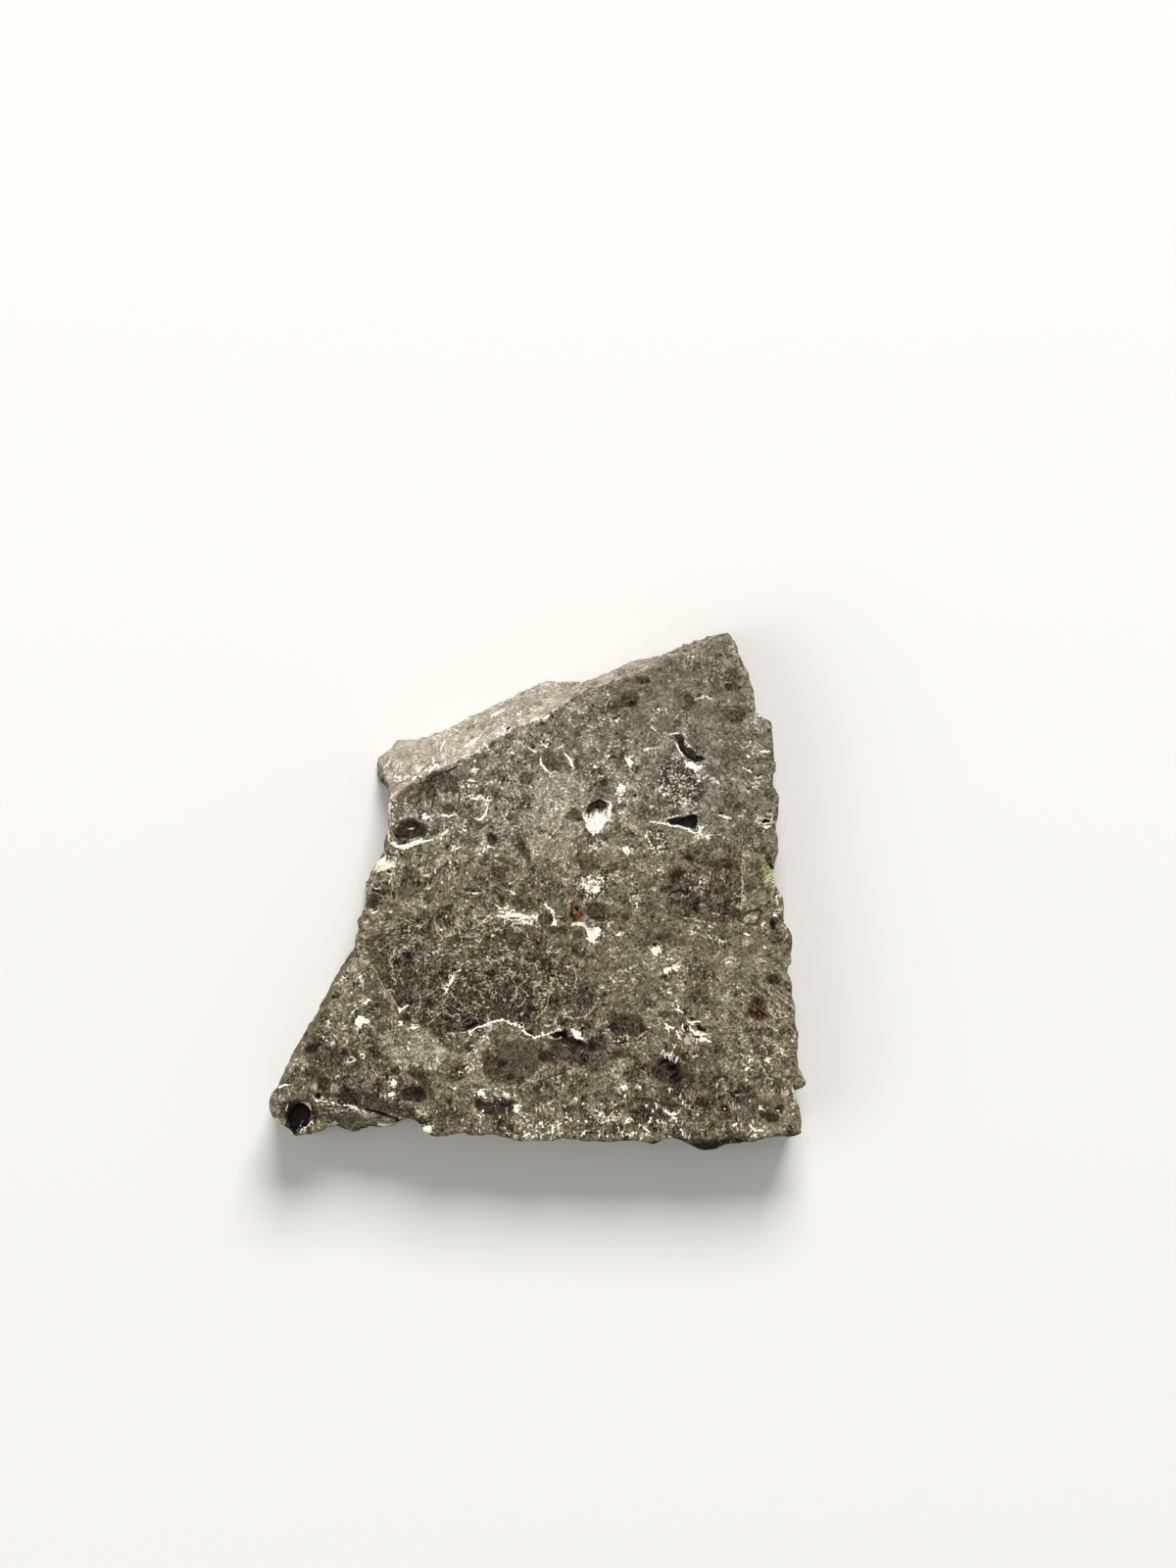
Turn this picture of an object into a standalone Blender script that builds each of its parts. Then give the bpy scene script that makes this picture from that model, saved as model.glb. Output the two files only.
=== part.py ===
"""A slice of dark lunar breccia, lying on its sawn back face.

The slice is one stone and one solid. Its broad top is a sawn, lightly lapped face. The walls
round it are broken. Along the upper left the wall leans outwards as a wide fracture face, and
at the lower left a strip of the rim has chipped away below a dark lip. The top face holds a few
open vugs, slots and cracks, and one deep crack ends in a notch beside the knob at the lower left
corner.

The stone is shaped in millimetres, because its details are a tenth of a millimetre, and its mesh
is scaled to metres when it is made. +X and +Y run across the top face and +Z is up. The origin is
the middle of the slice's bounding box, on the plane that it rests on.
"""

import math
from typing import NamedTuple

import bmesh
import bpy
from mathutils import Vector, noise
from mathutils.bvhtree import BVHTree

MM = 0.001

# The thickness of the slice, between its two sawn faces.
THICKNESS = 2.5

# Corners of the rim, anticlockwise seen from above: x and y on the top face, then x and y of the
# corner below it on the back face. Where the two differ, the wall between them leans.
TOP_EDGE = (
    (5.60, 7.45, 5.65, 7.60),
    (5.10, 7.35, 5.10, 7.55),
    (4.20, 6.95, 4.10, 7.20),
    (3.65, 6.75, 3.50, 6.90),
    (3.05, 6.55, 3.00, 6.85),
    (1.50, 5.90, 1.35, 6.15),
    (0.45, 5.30, 0.45, 6.22),
    (0.15, 5.10, 0.05, 6.15),
    (-0.55, 4.75, -0.80, 5.70),
    (-1.45, 4.25, -2.10, 5.05),
    (-1.95, 3.95, -2.85, 4.70),
    (-2.60, 3.70, -3.45, 4.50),
    (-3.05, 3.50, -4.15, 4.45),
    (-3.95, 2.95, -4.65, 3.85),
    (-4.25, 2.75, -4.75, 3.35),
)
LEFT_EDGE = (
    (-4.30, 2.68, -4.38, 2.80),
    (-4.28, 1.90, -4.45, 1.90),
    (-4.40, 1.45, -4.55, 1.45),
    (-4.35, 1.20, -4.52, 1.22),
    (-4.10, 1.00, -4.60, 1.02),
    (-4.15, 0.75, -4.75, 0.85),
    (-4.55, 0.55, -4.95, 0.60),
    (-4.90, 0.32, -5.05, 0.30),
    (-5.00, -0.20, -5.05, -0.20),
    (-5.35, -1.45, -5.45, -1.45),
    (-5.33, -1.75, -5.42, -1.75),
    (-5.75, -2.40, -5.90, -2.35),
    (-6.45, -3.75, -6.70, -3.70),
    (-7.15, -5.05, -7.35, -5.00),
    (-7.65, -5.78, -7.70, -5.75),
    (-7.78, -6.05, -7.80, -6.02),
    (-7.74, -6.35, -7.78, -6.32),
    (-7.55, -6.62, -7.55, -6.60),
    (-7.20, -6.75, -7.30, -6.72),
)
BOTTOM_EDGE = (
    (-6.95, -6.62, -7.05, -6.85),
    (-6.55, -6.38, -7.20, -7.10),
    (-6.05, -6.30, -6.65, -7.05),
    (-5.35, -6.36, -6.05, -6.80),
    (-4.90, -6.48, -5.50, -7.05),
    (-4.65, -6.53, -4.95, -6.92),
    (-4.42, -6.60, -4.65, -7.00),
    (-4.20, -6.64, -4.18, -6.90),
    (-4.05, -6.62, -4.08, -6.70),
    (-3.65, -6.66, -3.68, -6.70),
    (-3.42, -6.80, -3.45, -6.76),
    (-3.35, -7.05, -3.40, -7.00),
    (-3.00, -7.22, -3.00, -7.15),
    (-2.20, -7.15, -2.20, -7.08),
    (-0.55, -7.30, -0.55, -7.20),
    (1.50, -7.30, 1.50, -7.18),
    (4.50, -7.34, 4.50, -7.36),
    (4.85, -7.34, 4.75, -7.56),
    (5.20, -7.32, 5.30, -7.60),
    (5.55, -7.30, 5.60, -7.36),
    (6.40, -7.30, 6.40, -7.20),
    (6.98, -7.12, 6.95, -7.06),
    (7.65, -7.10, 7.58, -7.02),
)
RIGHT_EDGE = (
    (7.65, -6.75, 7.58, -6.75),
    (7.38, -5.80, 7.30, -5.80),
    (7.60, -5.75, 7.48, -5.75),
    (7.80, -5.58, 7.65, -5.55),
    (7.62, -5.15, 7.52, -5.15),
    (7.40, -2.65, 7.30, -2.65),
    (7.28, -2.30, 7.22, -2.30),
    (7.45, -2.10, 7.35, -2.10),
    (7.35, -1.30, 7.25, -1.30),
    (6.98, 0.55, 6.90, 0.55),
    (7.05, 1.15, 6.95, 1.15),
    (6.95, 1.85, 6.87, 1.85),
    (7.05, 2.70, 6.98, 2.70),
    (6.93, 3.10, 6.85, 3.10),
    (7.00, 3.50, 6.90, 3.50),
    (6.85, 4.85, 6.76, 4.85),
    (6.45, 5.20, 6.38, 5.20),
    (6.25, 6.00, 6.18, 6.00),
    (5.75, 7.22, 5.70, 7.25),
)
RIM = TOP_EDGE + LEFT_EDGE + BOTTOM_EDGE + RIGHT_EDGE

# What a face of the slab belongs to, kept in its material index while the slab is shaped.
WALL, TOP, BACK = 0, 1, 2

# The walls are cut on a grid this wide and into this many layers, and the top face more coarsely.
WALL_STEP = 0.36
WALL_LAYERS = 7
FACE_STEP = 1.5
# A cut this close to a corner goes through the corner.
SNAP = 0.05
# A leaning wall falls away a little more slowly at the top face than at the back face.
WALL_CURVE = 1.25

# Broken walls have broad lumps, and flat chip scars the size of a coarse sand grain.
LUMP_SIZE, LUMP_HEIGHT, LUMP_OCTAVES = 1.4, 0.12, 3
CHIP_SIZE, CHIP_HEIGHT = 0.95, 0.68
# Chip scars are numbered by where their middles lie, this far apart, to tilt each its own way.
SCAR_NUMBERING = 7.0
# Between the two faces an upright wall is hollowed by about this much.
WAIST = 0.11
# A wall leaning outwards at this slope or more is smoother, and the top face's rim is smoothest.
FULL_LEAN = 0.5
LEANING_SHARE = 0.35
RIM_SHARE = 0.25
# No wall stands out past the outline by more than the first, or is scarred deeper than the second.
MOST_OUT, MOST_IN = 0.07, 0.42
# The top face is almost flat.
FACE_SIZE, FACE_HEIGHT = 1.6, 0.03
# Broken faces that would cross or fold over are calmed by this share, this many times at most.
CALMING, CALMING_ROUNDS = 0.6, 24
# A face has folded over when its new normal and its old one agree by less than this.
LEAST_FACING = 0.25

# A cutter stands this far above the top face.
CUT_ABOVE = 0.4
# A slot's floor is shallower or deeper than its depth by up to this share.
FLOOR_UNEVENNESS = 0.15
FLOOR_NUMBERING = 9.0
# A bowl's own lumps: their number across it, and their height as a share of its radius.
BOWL_LUMPS, BOWL_LUMP_HEIGHT = 1.7, 0.28
BOWL_NUMBERING = 3.0
# A bowl wider than this is rounder.
LARGE_BOWL = 0.3


class Slot(NamedTuple):
    """A steep-walled opening in the top face, whose floor is smaller than its mouth by a share."""

    name: str
    outline: tuple
    depth: float
    floor_share: float


class Bowl(NamedTuple):
    """A rounded hollow about a point on the top face or on a wall, turned by degrees about +Z."""

    name: str
    place: tuple
    radii: tuple
    turn: float


SLOTS = (
    Slot(
        "wedge_vug",
        ((3.68, 2.08), (4.13, 2.17), (4.70, 2.22), (4.59, 1.84), (4.16, 1.97)),
        1.3,
        0.6,
    ),
    Slot(
        "curved_slot",
        (
            (4.10, 4.52),
            (4.25, 4.49),
            (4.36, 4.26),
            (4.59, 4.03),
            (4.85, 3.89),
            (4.79, 3.75),
            (4.50, 3.83),
            (4.25, 4.09),
            (4.10, 4.32),
        ),
        0.40,
        0.75,
    ),
    Slot(
        "bright_vug",
        ((1.45, 2.35), (1.65, 2.55), (2.00, 2.62), (2.08, 2.55), (1.82, 2.38), (1.57, 2.24)),
        0.45,
        0.6,
    ),
    Slot(
        "left_vug",
        (
            (-4.24, 1.78),
            (-4.12, 2.02),
            (-3.62, 2.12),
            (-3.30, 1.98),
            (-3.02, 1.78),
            (-3.10, 1.56),
            (-3.55, 1.45),
            (-3.92, 1.38),
            (-4.15, 1.52),
        ),
        0.65,
        0.55,
    ),
    Slot(
        "low_vug",
        ((4.65, -3.86), (4.79, -3.92), (4.96, -4.03), (4.85, -4.12), (4.67, -4.03)),
        0.5,
        0.6,
    ),
    Slot(
        "middle_vug",
        ((1.08, -1.24), (1.31, -1.15), (1.43, -1.33), (1.31, -1.52), (1.11, -1.47)),
        0.3,
        0.6,
    ),
    Slot(
        "arc_crack",
        (
            (-2.24, -4.10),
            (-1.70, -3.83),
            (-0.97, -3.70),
            (-0.31, -3.97),
            (0.09, -4.21),
            (0.06, -4.30),
            (-0.34, -4.09),
            (-0.98, -3.81),
            (-1.68, -3.95),
            (-2.20, -4.20),
        ),
        0.25,
        1.0,
    ),
    Slot(
        "arc_pocket",
        ((0.56, -4.05), (0.80, -4.06), (1.04, -4.28), (1.02, -4.58), (0.62, -4.50)),
        0.25,
        0.7,
    ),
    Slot(
        "corner_crack",
        (
            (-7.34, -6.92),
            (-7.22, -6.48),
            (-7.05, -6.18),
            (-6.84, -6.10),
            (-6.64, -6.19),
            (-6.56, -6.42),
            (-6.72, -6.60),
            (-6.95, -6.74),
            (-7.14, -7.00),
        ),
        1.9,
        0.8,
    ),
)

BOWLS = (
    Bowl("bright_bowl", (1.80, 2.05, THICKNESS), (0.36, 0.42, 0.16), 15.0),
    Bowl("white_bowl", (1.45, -1.20, THICKNESS), (0.34, 0.22, 0.12), -50.0),
    Bowl("upper_pit", (4.75, 5.67, THICKNESS), (0.09, 0.06, 0.16), 0.0),
    Bowl("upper_twin_pit", (5.01, 5.67, THICKNESS), (0.08, 0.06, 0.14), 0.0),
    Bowl("right_pit", (6.68, 1.98, THICKNESS), (0.17, 0.11, 0.22), 10.0),
    Bowl("edge_slot", (6.84, 0.72, THICKNESS), (0.07, 0.17, 0.20), 35.0),
    Bowl("black_dot", (6.86, -0.97, THICKNESS), (0.10, 0.15, 0.22), 0.0),
    Bowl("right_hollow", (6.98, -2.60, THICKNESS), (0.20, 0.15, 0.12), -20.0),
    Bowl("rust_pit", (4.45, -3.66, THICKNESS), (0.12, 0.08, 0.18), -30.0),
    Bowl("band_pit", (-0.85, 4.70, 2.3), (0.08, 0.09, 0.3), 0.0),
    Bowl("low_hollow", (3.85, -5.15, THICKNESS), (0.22, 0.34, 0.16), 15.0),
    Bowl("white_crescent", (3.88, -6.36, THICKNESS), (0.22, 0.12, 0.10), 0.0),
    Bowl("round_hollow", (-1.30, 1.55, THICKNESS), (0.15, 0.17, 0.12), 20.0),
    Bowl("left_hollow", (-6.55, -4.58, THICKNESS), (0.22, 0.18, 0.12), 0.0),
    Bowl("ring_pit", (-5.42, -4.93, THICKNESS), (0.13, 0.10, 0.10), 20.0),
    Bowl("knob_pit", (-6.38, -5.95, THICKNESS), (0.11, 0.09, 0.14), 0.0),
    Bowl("smooth_crescent", (-1.22, -6.20, THICKNESS), (0.64, 0.26, 0.12), 4.0),
    Bowl("square_pit", (-3.65, -5.93, THICKNESS), (0.36, 0.25, 0.16), 0.0),
    Bowl("bite", (-4.55, 0.62, THICKNESS), (0.52, 0.34, 0.30), 25.0),
    Bowl("notch_scar", (7.55, -5.95, 2.1), (0.26, 0.20, 0.5), 0.0),
)


def clear_scene() -> None:
    """Removes every object that is in the file."""
    for thing in list(bpy.data.objects):
        bpy.data.objects.remove(thing)


def slab_of_rim() -> bmesh.types.BMesh:
    """The slab between the top outline and the back outline, with one wall face per rim corner."""
    bm = bmesh.new()
    top = [bm.verts.new((x, y, THICKNESS)) for x, y, _, _ in RIM]
    back = [bm.verts.new((x, y, 0.0)) for _, _, x, y in RIM]
    bm.faces.new(top).material_index = TOP
    bm.faces.new(reversed(back)).material_index = BACK
    for here in range(len(RIM)):
        after = (here + 1) % len(RIM)
        wall = bm.faces.new((top[here], back[here], back[after], top[after]))
        wall.material_index = WALL
    return bm


def cut_across(bm: bmesh.types.BMesh, kind: int, axis: int, places: list) -> None:
    """Cuts the slab's faces of one kind by planes across one axis."""
    for place in places:
        point = Vector((0.0, 0.0, 0.0))
        normal = Vector((0.0, 0.0, 0.0))
        point[axis] = place
        normal[axis] = 1.0
        faces = [face for face in bm.faces if face.material_index == kind]
        edges = {edge for face in faces for edge in face.edges}
        verts = {vert for face in faces for vert in face.verts}
        bmesh.ops.bisect_plane(
            bm, geom=[*verts, *edges, *faces], dist=SNAP, plane_co=point, plane_no=normal
        )


def grid_lines(step: float) -> list:
    """The places of a grid's lines across the slice, which miss its middle by half a step."""
    reach = max(abs(value) for corner in RIM for value in corner)
    count = math.ceil(reach / step)
    return [step * (line + 0.5) for line in range(-count, count)]


def cut_into_cells(bm: bmesh.types.BMesh) -> None:
    """Cuts the walls into small cells and the top face into large ones. The back stays whole."""
    for axis in (0, 1):
        cut_across(bm, WALL, axis, grid_lines(WALL_STEP))
        cut_across(bm, TOP, axis, grid_lines(FACE_STEP))
    layers = [THICKNESS * layer / WALL_LAYERS for layer in range(1, WALL_LAYERS)]
    cut_across(bm, WALL, 2, layers)
    for vert in bm.verts:
        depth = max(0.0, 1.0 - vert.co.z / THICKNESS)
        vert.co.z = THICKNESS * (1.0 - depth**WALL_CURVE)
    bmesh.ops.triangulate(bm, faces=bm.faces)


def chip_height(place: Vector) -> float:
    """The height of a flat chip scar at a place: each scar is a small plane, tilted its own way."""
    _, middles = noise.voronoi(place / CHIP_SIZE)
    tilt = noise.cell_vector(middles[0] * SCAR_NUMBERING) - Vector((0.5, 0.5, 0.5))
    return CHIP_HEIGHT * tilt.dot(place / CHIP_SIZE - middles[0])


def wall_height(place: Vector, lean: float) -> float:
    """How far a broken wall stands out at a place, in millimetres.

    lean is how far the wall faces upwards, from 0 for an upright wall to 1.
    """
    upright = 1.0 - min(1.0, max(0.0, lean) / FULL_LEAN)
    lump = LUMP_HEIGHT * noise.fractal(place / LUMP_SIZE, 1.0, 2.0, LUMP_OCTAVES)
    along = Vector((place.x, place.y, 0.0))
    hollow = WAIST * upright * math.sin(math.pi * place.z / THICKNESS)
    hollow *= 1.0 + 2.0 * noise.noise(along / LUMP_SIZE)
    share = LEANING_SHARE + (1.0 - LEANING_SHARE) * upright
    height = (lump + chip_height(place)) * share - hollow
    return max(-MOST_IN, min(MOST_OUT, height))


def wanted_push(vert: bmesh.types.BMVert) -> Vector:
    """How a corner of the slab's mesh is to move. Corners on the back face stay where they are."""
    kinds = {face.material_index for face in vert.link_faces}
    push = Vector((0.0, 0.0, 0.0))
    if BACK in kinds:
        return push
    if WALL in kinds:
        walls = [face.normal for face in vert.link_faces if face.material_index == WALL]
        outwards = sum(walls, Vector((0.0, 0.0, 0.0))).normalized()
        height = wall_height(vert.co, outwards.z)
        if TOP in kinds:
            outwards.z = 0.0
            height *= RIM_SHARE
        push = outwards.normalized() * height
    if TOP in kinds:
        push.z = FACE_HEIGHT * (noise.noise(vert.co / FACE_SIZE) - 0.5)
    return push


def crossing_corners(bm: bmesh.types.BMesh, normals: list) -> set:
    """The corners of faces that cross one another, or that have folded over from these normals."""
    bm.normal_update()
    bm.faces.ensure_lookup_table()
    faces = {
        face for face, normal in zip(bm.faces, normals) if face.normal.dot(normal) < LEAST_FACING
    }
    tree = BVHTree.FromBMesh(bm)
    for one, other in tree.overlap(tree):
        if not set(bm.faces[one].verts) & set(bm.faces[other].verts):
            faces.add(bm.faces[one])
    return {vert for face in faces for vert in face.verts}


def roughen(bm: bmesh.types.BMesh) -> None:
    """Breaks the walls and makes the top face slightly uneven, with no face crossing another."""
    bm.normal_update()
    rest = {vert: vert.co.copy() for vert in bm.verts}
    pushes = {vert: wanted_push(vert) for vert in bm.verts}
    normals = [face.normal.copy() for face in bm.faces]
    for _ in range(CALMING_ROUNDS):
        for vert, push in pushes.items():
            vert.co = rest[vert] + push
        crossing = crossing_corners(bm, normals)
        if not crossing:
            break
        for vert in crossing:
            pushes[vert] *= CALMING


def middle_of_base(bm: bmesh.types.BMesh) -> Vector:
    """The middle of the mesh's bounding box, on the plane z = 0."""
    across = [vert.co.x for vert in bm.verts]
    along = [vert.co.y for vert in bm.verts]
    return Vector(((min(across) + max(across)) / 2.0, (min(along) + max(along)) / 2.0, 0.0))


def mesh_object(name: str, bm: bmesh.types.BMesh, origin: Vector) -> bpy.types.Object:
    """Puts a bmesh in the scene as an object in metres, with this point of it at the origin."""
    bmesh.ops.translate(bm, vec=-origin, verts=bm.verts)
    bmesh.ops.scale(bm, vec=(MM, MM, MM), verts=bm.verts)
    mesh = bpy.data.meshes.new(name)
    bm.to_mesh(mesh)
    bm.free()
    thing = bpy.data.objects.new(name, mesh)
    bpy.context.scene.collection.objects.link(thing)
    return thing


def slot_plug(slot: Slot) -> bmesh.types.BMesh:
    """A tapered plug with the slot's outline, wider above the stone than at the slot's floor."""
    bm = bmesh.new()
    lid = bm.faces.new([bm.verts.new((x, y, THICKNESS + CUT_ABOVE)) for x, y in slot.outline])
    made = bmesh.ops.extrude_face_region(bm, geom=[lid])["geom"]
    floor = [item for item in made if isinstance(item, bmesh.types.BMVert)]
    middle = sum((vert.co for vert in floor), Vector()) / len(floor)
    for vert in floor:
        vert.co = middle + (vert.co - middle) * slot.floor_share
        unevenness = FLOOR_UNEVENNESS * (2.0 * noise.cell(vert.co * FLOOR_NUMBERING) - 1.0)
        vert.co.z = THICKNESS - slot.depth * (1.0 + unevenness)
    bmesh.ops.recalc_face_normals(bm, faces=bm.faces)
    bmesh.ops.triangulate(bm, faces=bm.faces)
    return bm


def bowl_lump(bowl: Bowl) -> bmesh.types.BMesh:
    """A lumpy ellipsoid about the bowl's place."""
    bm = bmesh.new()
    rounds = 3 if max(bowl.radii) > LARGE_BOWL else 2
    bmesh.ops.create_icosphere(bm, subdivisions=rounds, radius=1.0)
    place = Vector(bowl.place)
    turn = math.radians(bowl.turn)
    for vert in bm.verts:
        lump = noise.noise(vert.co * BOWL_LUMPS + place * BOWL_NUMBERING)
        reach = 1.0 + BOWL_LUMP_HEIGHT * lump
        x, y, z = (reach * value * radius for value, radius in zip(vert.co, bowl.radii))
        across = x * math.cos(turn) - y * math.sin(turn)
        along = x * math.sin(turn) + y * math.cos(turn)
        vert.co = place + Vector((across, along, z))
    return bm


def cut_away(stone: bpy.types.Object, cutter: bpy.types.Object) -> None:
    """Cuts one solid out of the stone, and keeps the cutter out of the finished object."""
    cutter.hide_render = True
    cutter.display_type = "WIRE"
    cut = stone.modifiers.new(cutter.name, "BOOLEAN")
    cut.operation = "DIFFERENCE"
    cut.solver = "EXACT"
    cut.object = cutter


def stone_material() -> bpy.types.Material:
    """The stone's overall look: warm dark grey, matt, with a faint sheen from lapping."""
    material = bpy.data.materials.new("dark_breccia")
    material.use_nodes = True
    shader = material.node_tree.nodes["Principled BSDF"]
    shader.inputs["Base Color"].default_value = (0.155, 0.140, 0.110, 1.0)
    shader.inputs["Roughness"].default_value = 0.6
    shader.inputs["Metallic"].default_value = 0.0
    return material


def build_stone() -> bpy.types.Object:
    """The slice: a slab, broken along its walls, with its vugs, slots, cracks and scars cut in."""
    bm = slab_of_rim()
    cut_into_cells(bm)
    roughen(bm)
    for face in bm.faces:
        face.material_index = 0
    origin = middle_of_base(bm)
    stone = mesh_object("stone", bm, origin)
    stone.data.materials.append(stone_material())
    for slot in SLOTS:
        cut_away(stone, mesh_object(slot.name, slot_plug(slot), origin))
    for bowl in BOWLS:
        cut_away(stone, mesh_object(bowl.name, bowl_lump(bowl), origin))
    return stone


def main() -> None:
    """Builds the object in an empty scene."""
    clear_scene()
    build_stone()


main()
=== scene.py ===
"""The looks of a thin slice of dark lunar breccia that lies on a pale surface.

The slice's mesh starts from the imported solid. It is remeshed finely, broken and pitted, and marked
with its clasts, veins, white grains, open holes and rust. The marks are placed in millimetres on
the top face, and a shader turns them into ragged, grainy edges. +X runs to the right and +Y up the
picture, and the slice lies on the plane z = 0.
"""

import logging
import math
from dataclasses import dataclass, field
from enum import Enum

import bmesh
import bpy
import numpy as np
from mathutils import Matrix, Vector, noise


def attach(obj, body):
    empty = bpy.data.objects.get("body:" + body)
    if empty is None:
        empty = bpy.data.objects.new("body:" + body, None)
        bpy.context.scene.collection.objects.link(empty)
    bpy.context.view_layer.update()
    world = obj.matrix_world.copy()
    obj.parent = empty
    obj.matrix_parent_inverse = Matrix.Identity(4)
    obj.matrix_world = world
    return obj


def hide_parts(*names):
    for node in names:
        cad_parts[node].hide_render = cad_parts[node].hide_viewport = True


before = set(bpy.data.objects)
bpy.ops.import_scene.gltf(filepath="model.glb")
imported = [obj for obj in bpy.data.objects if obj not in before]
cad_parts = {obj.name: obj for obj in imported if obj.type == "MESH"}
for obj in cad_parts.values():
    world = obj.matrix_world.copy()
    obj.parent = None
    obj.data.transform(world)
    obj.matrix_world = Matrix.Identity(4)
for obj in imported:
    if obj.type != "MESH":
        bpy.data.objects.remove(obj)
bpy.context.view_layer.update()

LOG = logging.getLogger("breccia_slice")

MM = 0.001
Point = tuple[float, float]
Box = tuple[float, float, float, float]
Triple = tuple[float, float, float]
Colour = tuple[float, float, float, float]

# A mark further than this from a corner of the mesh doesn't touch it, in millimetres.
FAR = 0.4
# How near to a line it is looked for, and where past its width its nearness is 0 and 1.
LINE_REACH = 0.2
LINE_FADE = (0.11, 0.05)
# Further than anything on the stone, in millimetres.
NOWHERE = 1.0e3


def srgb(red: int, green: int, blue: int) -> Colour:
    """Turns a colour as seen on a screen into the linear one that a shader takes.

    Args:
        red: Red, from 0 to 255.
        green: Green, from 0 to 255.
        blue: Blue, from 0 to 255.

    Returns:
        The linear colour, with an alpha of 1.
    """
    parts = []
    for value in (red, green, blue):
        share = value / 255.0
        parts.append(share / 12.92 if share <= 0.04045 else ((share + 0.055) / 1.055) ** 2.4)
    return (parts[0], parts[1], parts[2], 1.0)


def smooth_step(values: np.ndarray, low: float, high: float) -> np.ndarray:
    """Eases values from 0 at low to 1 at high.

    Args:
        values: The values.
        low: Where the result is 0.
        high: Where the result is 1, which may be below low.

    Returns:
        The eased values.
    """
    share = np.clip((values - low) / (high - low), 0.0, 1.0)
    return share * share * (3.0 - 2.0 * share)


def box_round(points: tuple[Point, ...]) -> Box:
    """The lowest x and y and the highest x and y of some points."""
    across, along = zip(*points)
    return (min(across), min(along), max(across), max(along))


def beside(start: Point, end: Point, x: np.ndarray, y: np.ndarray) -> tuple[np.ndarray, np.ndarray]:
    """Finds the place on a straight stretch that some points are nearest to.

    Args:
        start: Where the stretch starts.
        end: Where it ends.
        x: The points' x.
        y: The points' y.

    Returns:
        The place, as a share of the stretch, and the distance to it.
    """
    step = (end[0] - start[0], end[1] - start[1])
    length = max(1.0e-9, step[0] ** 2 + step[1] ** 2)
    share = ((x - start[0]) * step[0] + (y - start[1]) * step[1]) / length
    share = np.clip(share, 0.0, 1.0)
    return share, np.hypot(x - start[0] - share * step[0], y - start[1] - share * step[1])


@dataclass(frozen=True)
class Oval:
    """An oval mark: its middle, its two radii and its turn in degrees."""

    x: float
    y: float
    across: float
    along: float = 0.0
    turn: float = 0.0

    def box(self) -> Box:
        """The lowest x and y and the highest x and y that the oval may reach."""
        reach = max(self.across, self.along)
        return (self.x - reach, self.y - reach, self.x + reach, self.y + reach)

    def inside(self, x: np.ndarray, y: np.ndarray) -> np.ndarray:
        """Measures how far inside the oval some points are.

        Args:
            x: The points' x.
            y: The points' y.

        Returns:
            Roughly the distance to the oval's edge, below 0 outside it.
        """
        along = self.along or self.across
        turn = math.radians(self.turn)
        over = (x - self.x) * math.cos(turn) + (y - self.y) * math.sin(turn)
        up = (y - self.y) * math.cos(turn) - (x - self.x) * math.sin(turn)
        reach = np.sqrt((over / self.across) ** 2 + (up / along) ** 2)
        return (1.0 - reach) * min(self.across, along)


@dataclass(frozen=True)
class Line:
    """A crack or vein: its width and the points that it runs through. Its ends taper."""

    width: float
    points: tuple[Point, ...]

    def box(self) -> Box:
        """The lowest x and y and the highest x and y of the line."""
        return box_round(self.points)

    def inside(self, x: np.ndarray, y: np.ndarray) -> np.ndarray:
        """Measures how far inside the line's width some points are.

        Args:
            x: The points' x.
            y: The points' y.

        Returns:
            The distance to the line's side, below 0 outside it.
        """
        best = np.full(x.shape, -NOWHERE)
        last = len(self.points) - 1
        for here, (start, end) in enumerate(zip(self.points, self.points[1:])):
            share, gap = beside(start, end, x, y)
            place = (here + share) / last
            width = self.width * (0.35 + 0.65 * np.sin(np.pi * np.clip(place, 0.04, 0.96)))
            best = np.maximum(best, width / 2.0 - gap)
        return best

    def field(self, x: np.ndarray, y: np.ndarray) -> tuple[np.ndarray, np.ndarray, np.ndarray]:
        """Measures on which side of the line some points are, and how far from it.

        Args:
            x: The points' x.
            y: The points' y.

        Returns:
            The distance, the same distance with a sign for the side, and half the line's width
            beside the point, which is below 0 past the line's ends.
        """
        best = np.full(x.shape, NOWHERE)
        side = np.zeros(x.shape)
        half = np.zeros(x.shape)
        last = len(self.points) - 1
        for here, (start, end) in enumerate(zip(self.points, self.points[1:])):
            step = (end[0] - start[0], end[1] - start[1])
            length = max(1.0e-6, math.hypot(step[0], step[1]))
            over = ((x - start[0]) * step[0] + (y - start[1]) * step[1]) / length
            across = ((y - start[1]) * step[0] - (x - start[0]) * step[1]) / length
            past = np.maximum(np.maximum(-over, over - length), 0.0)
            gap = np.hypot(across, past)
            place = (here + np.clip(over / length, 0.0, 1.0)) / last
            width = self.width * (0.3 + 0.7 * np.sin(np.pi * np.clip(place, 0.03, 0.97)))
            beyond = ((here == 0) & (over < 0.0)) | ((here == last - 1) & (over > length))
            outer = np.where(beyond, past, 0.0)
            mine = gap < best
            best = np.where(mine, gap, best)
            sign = np.where(across < 0.0, -1.0, 1.0)
            side = np.where(mine, np.where(outer > 0.0, across, gap * sign), side)
            half = np.where(mine, width / 2.0 - outer, half)
        return best, side, half


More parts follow.
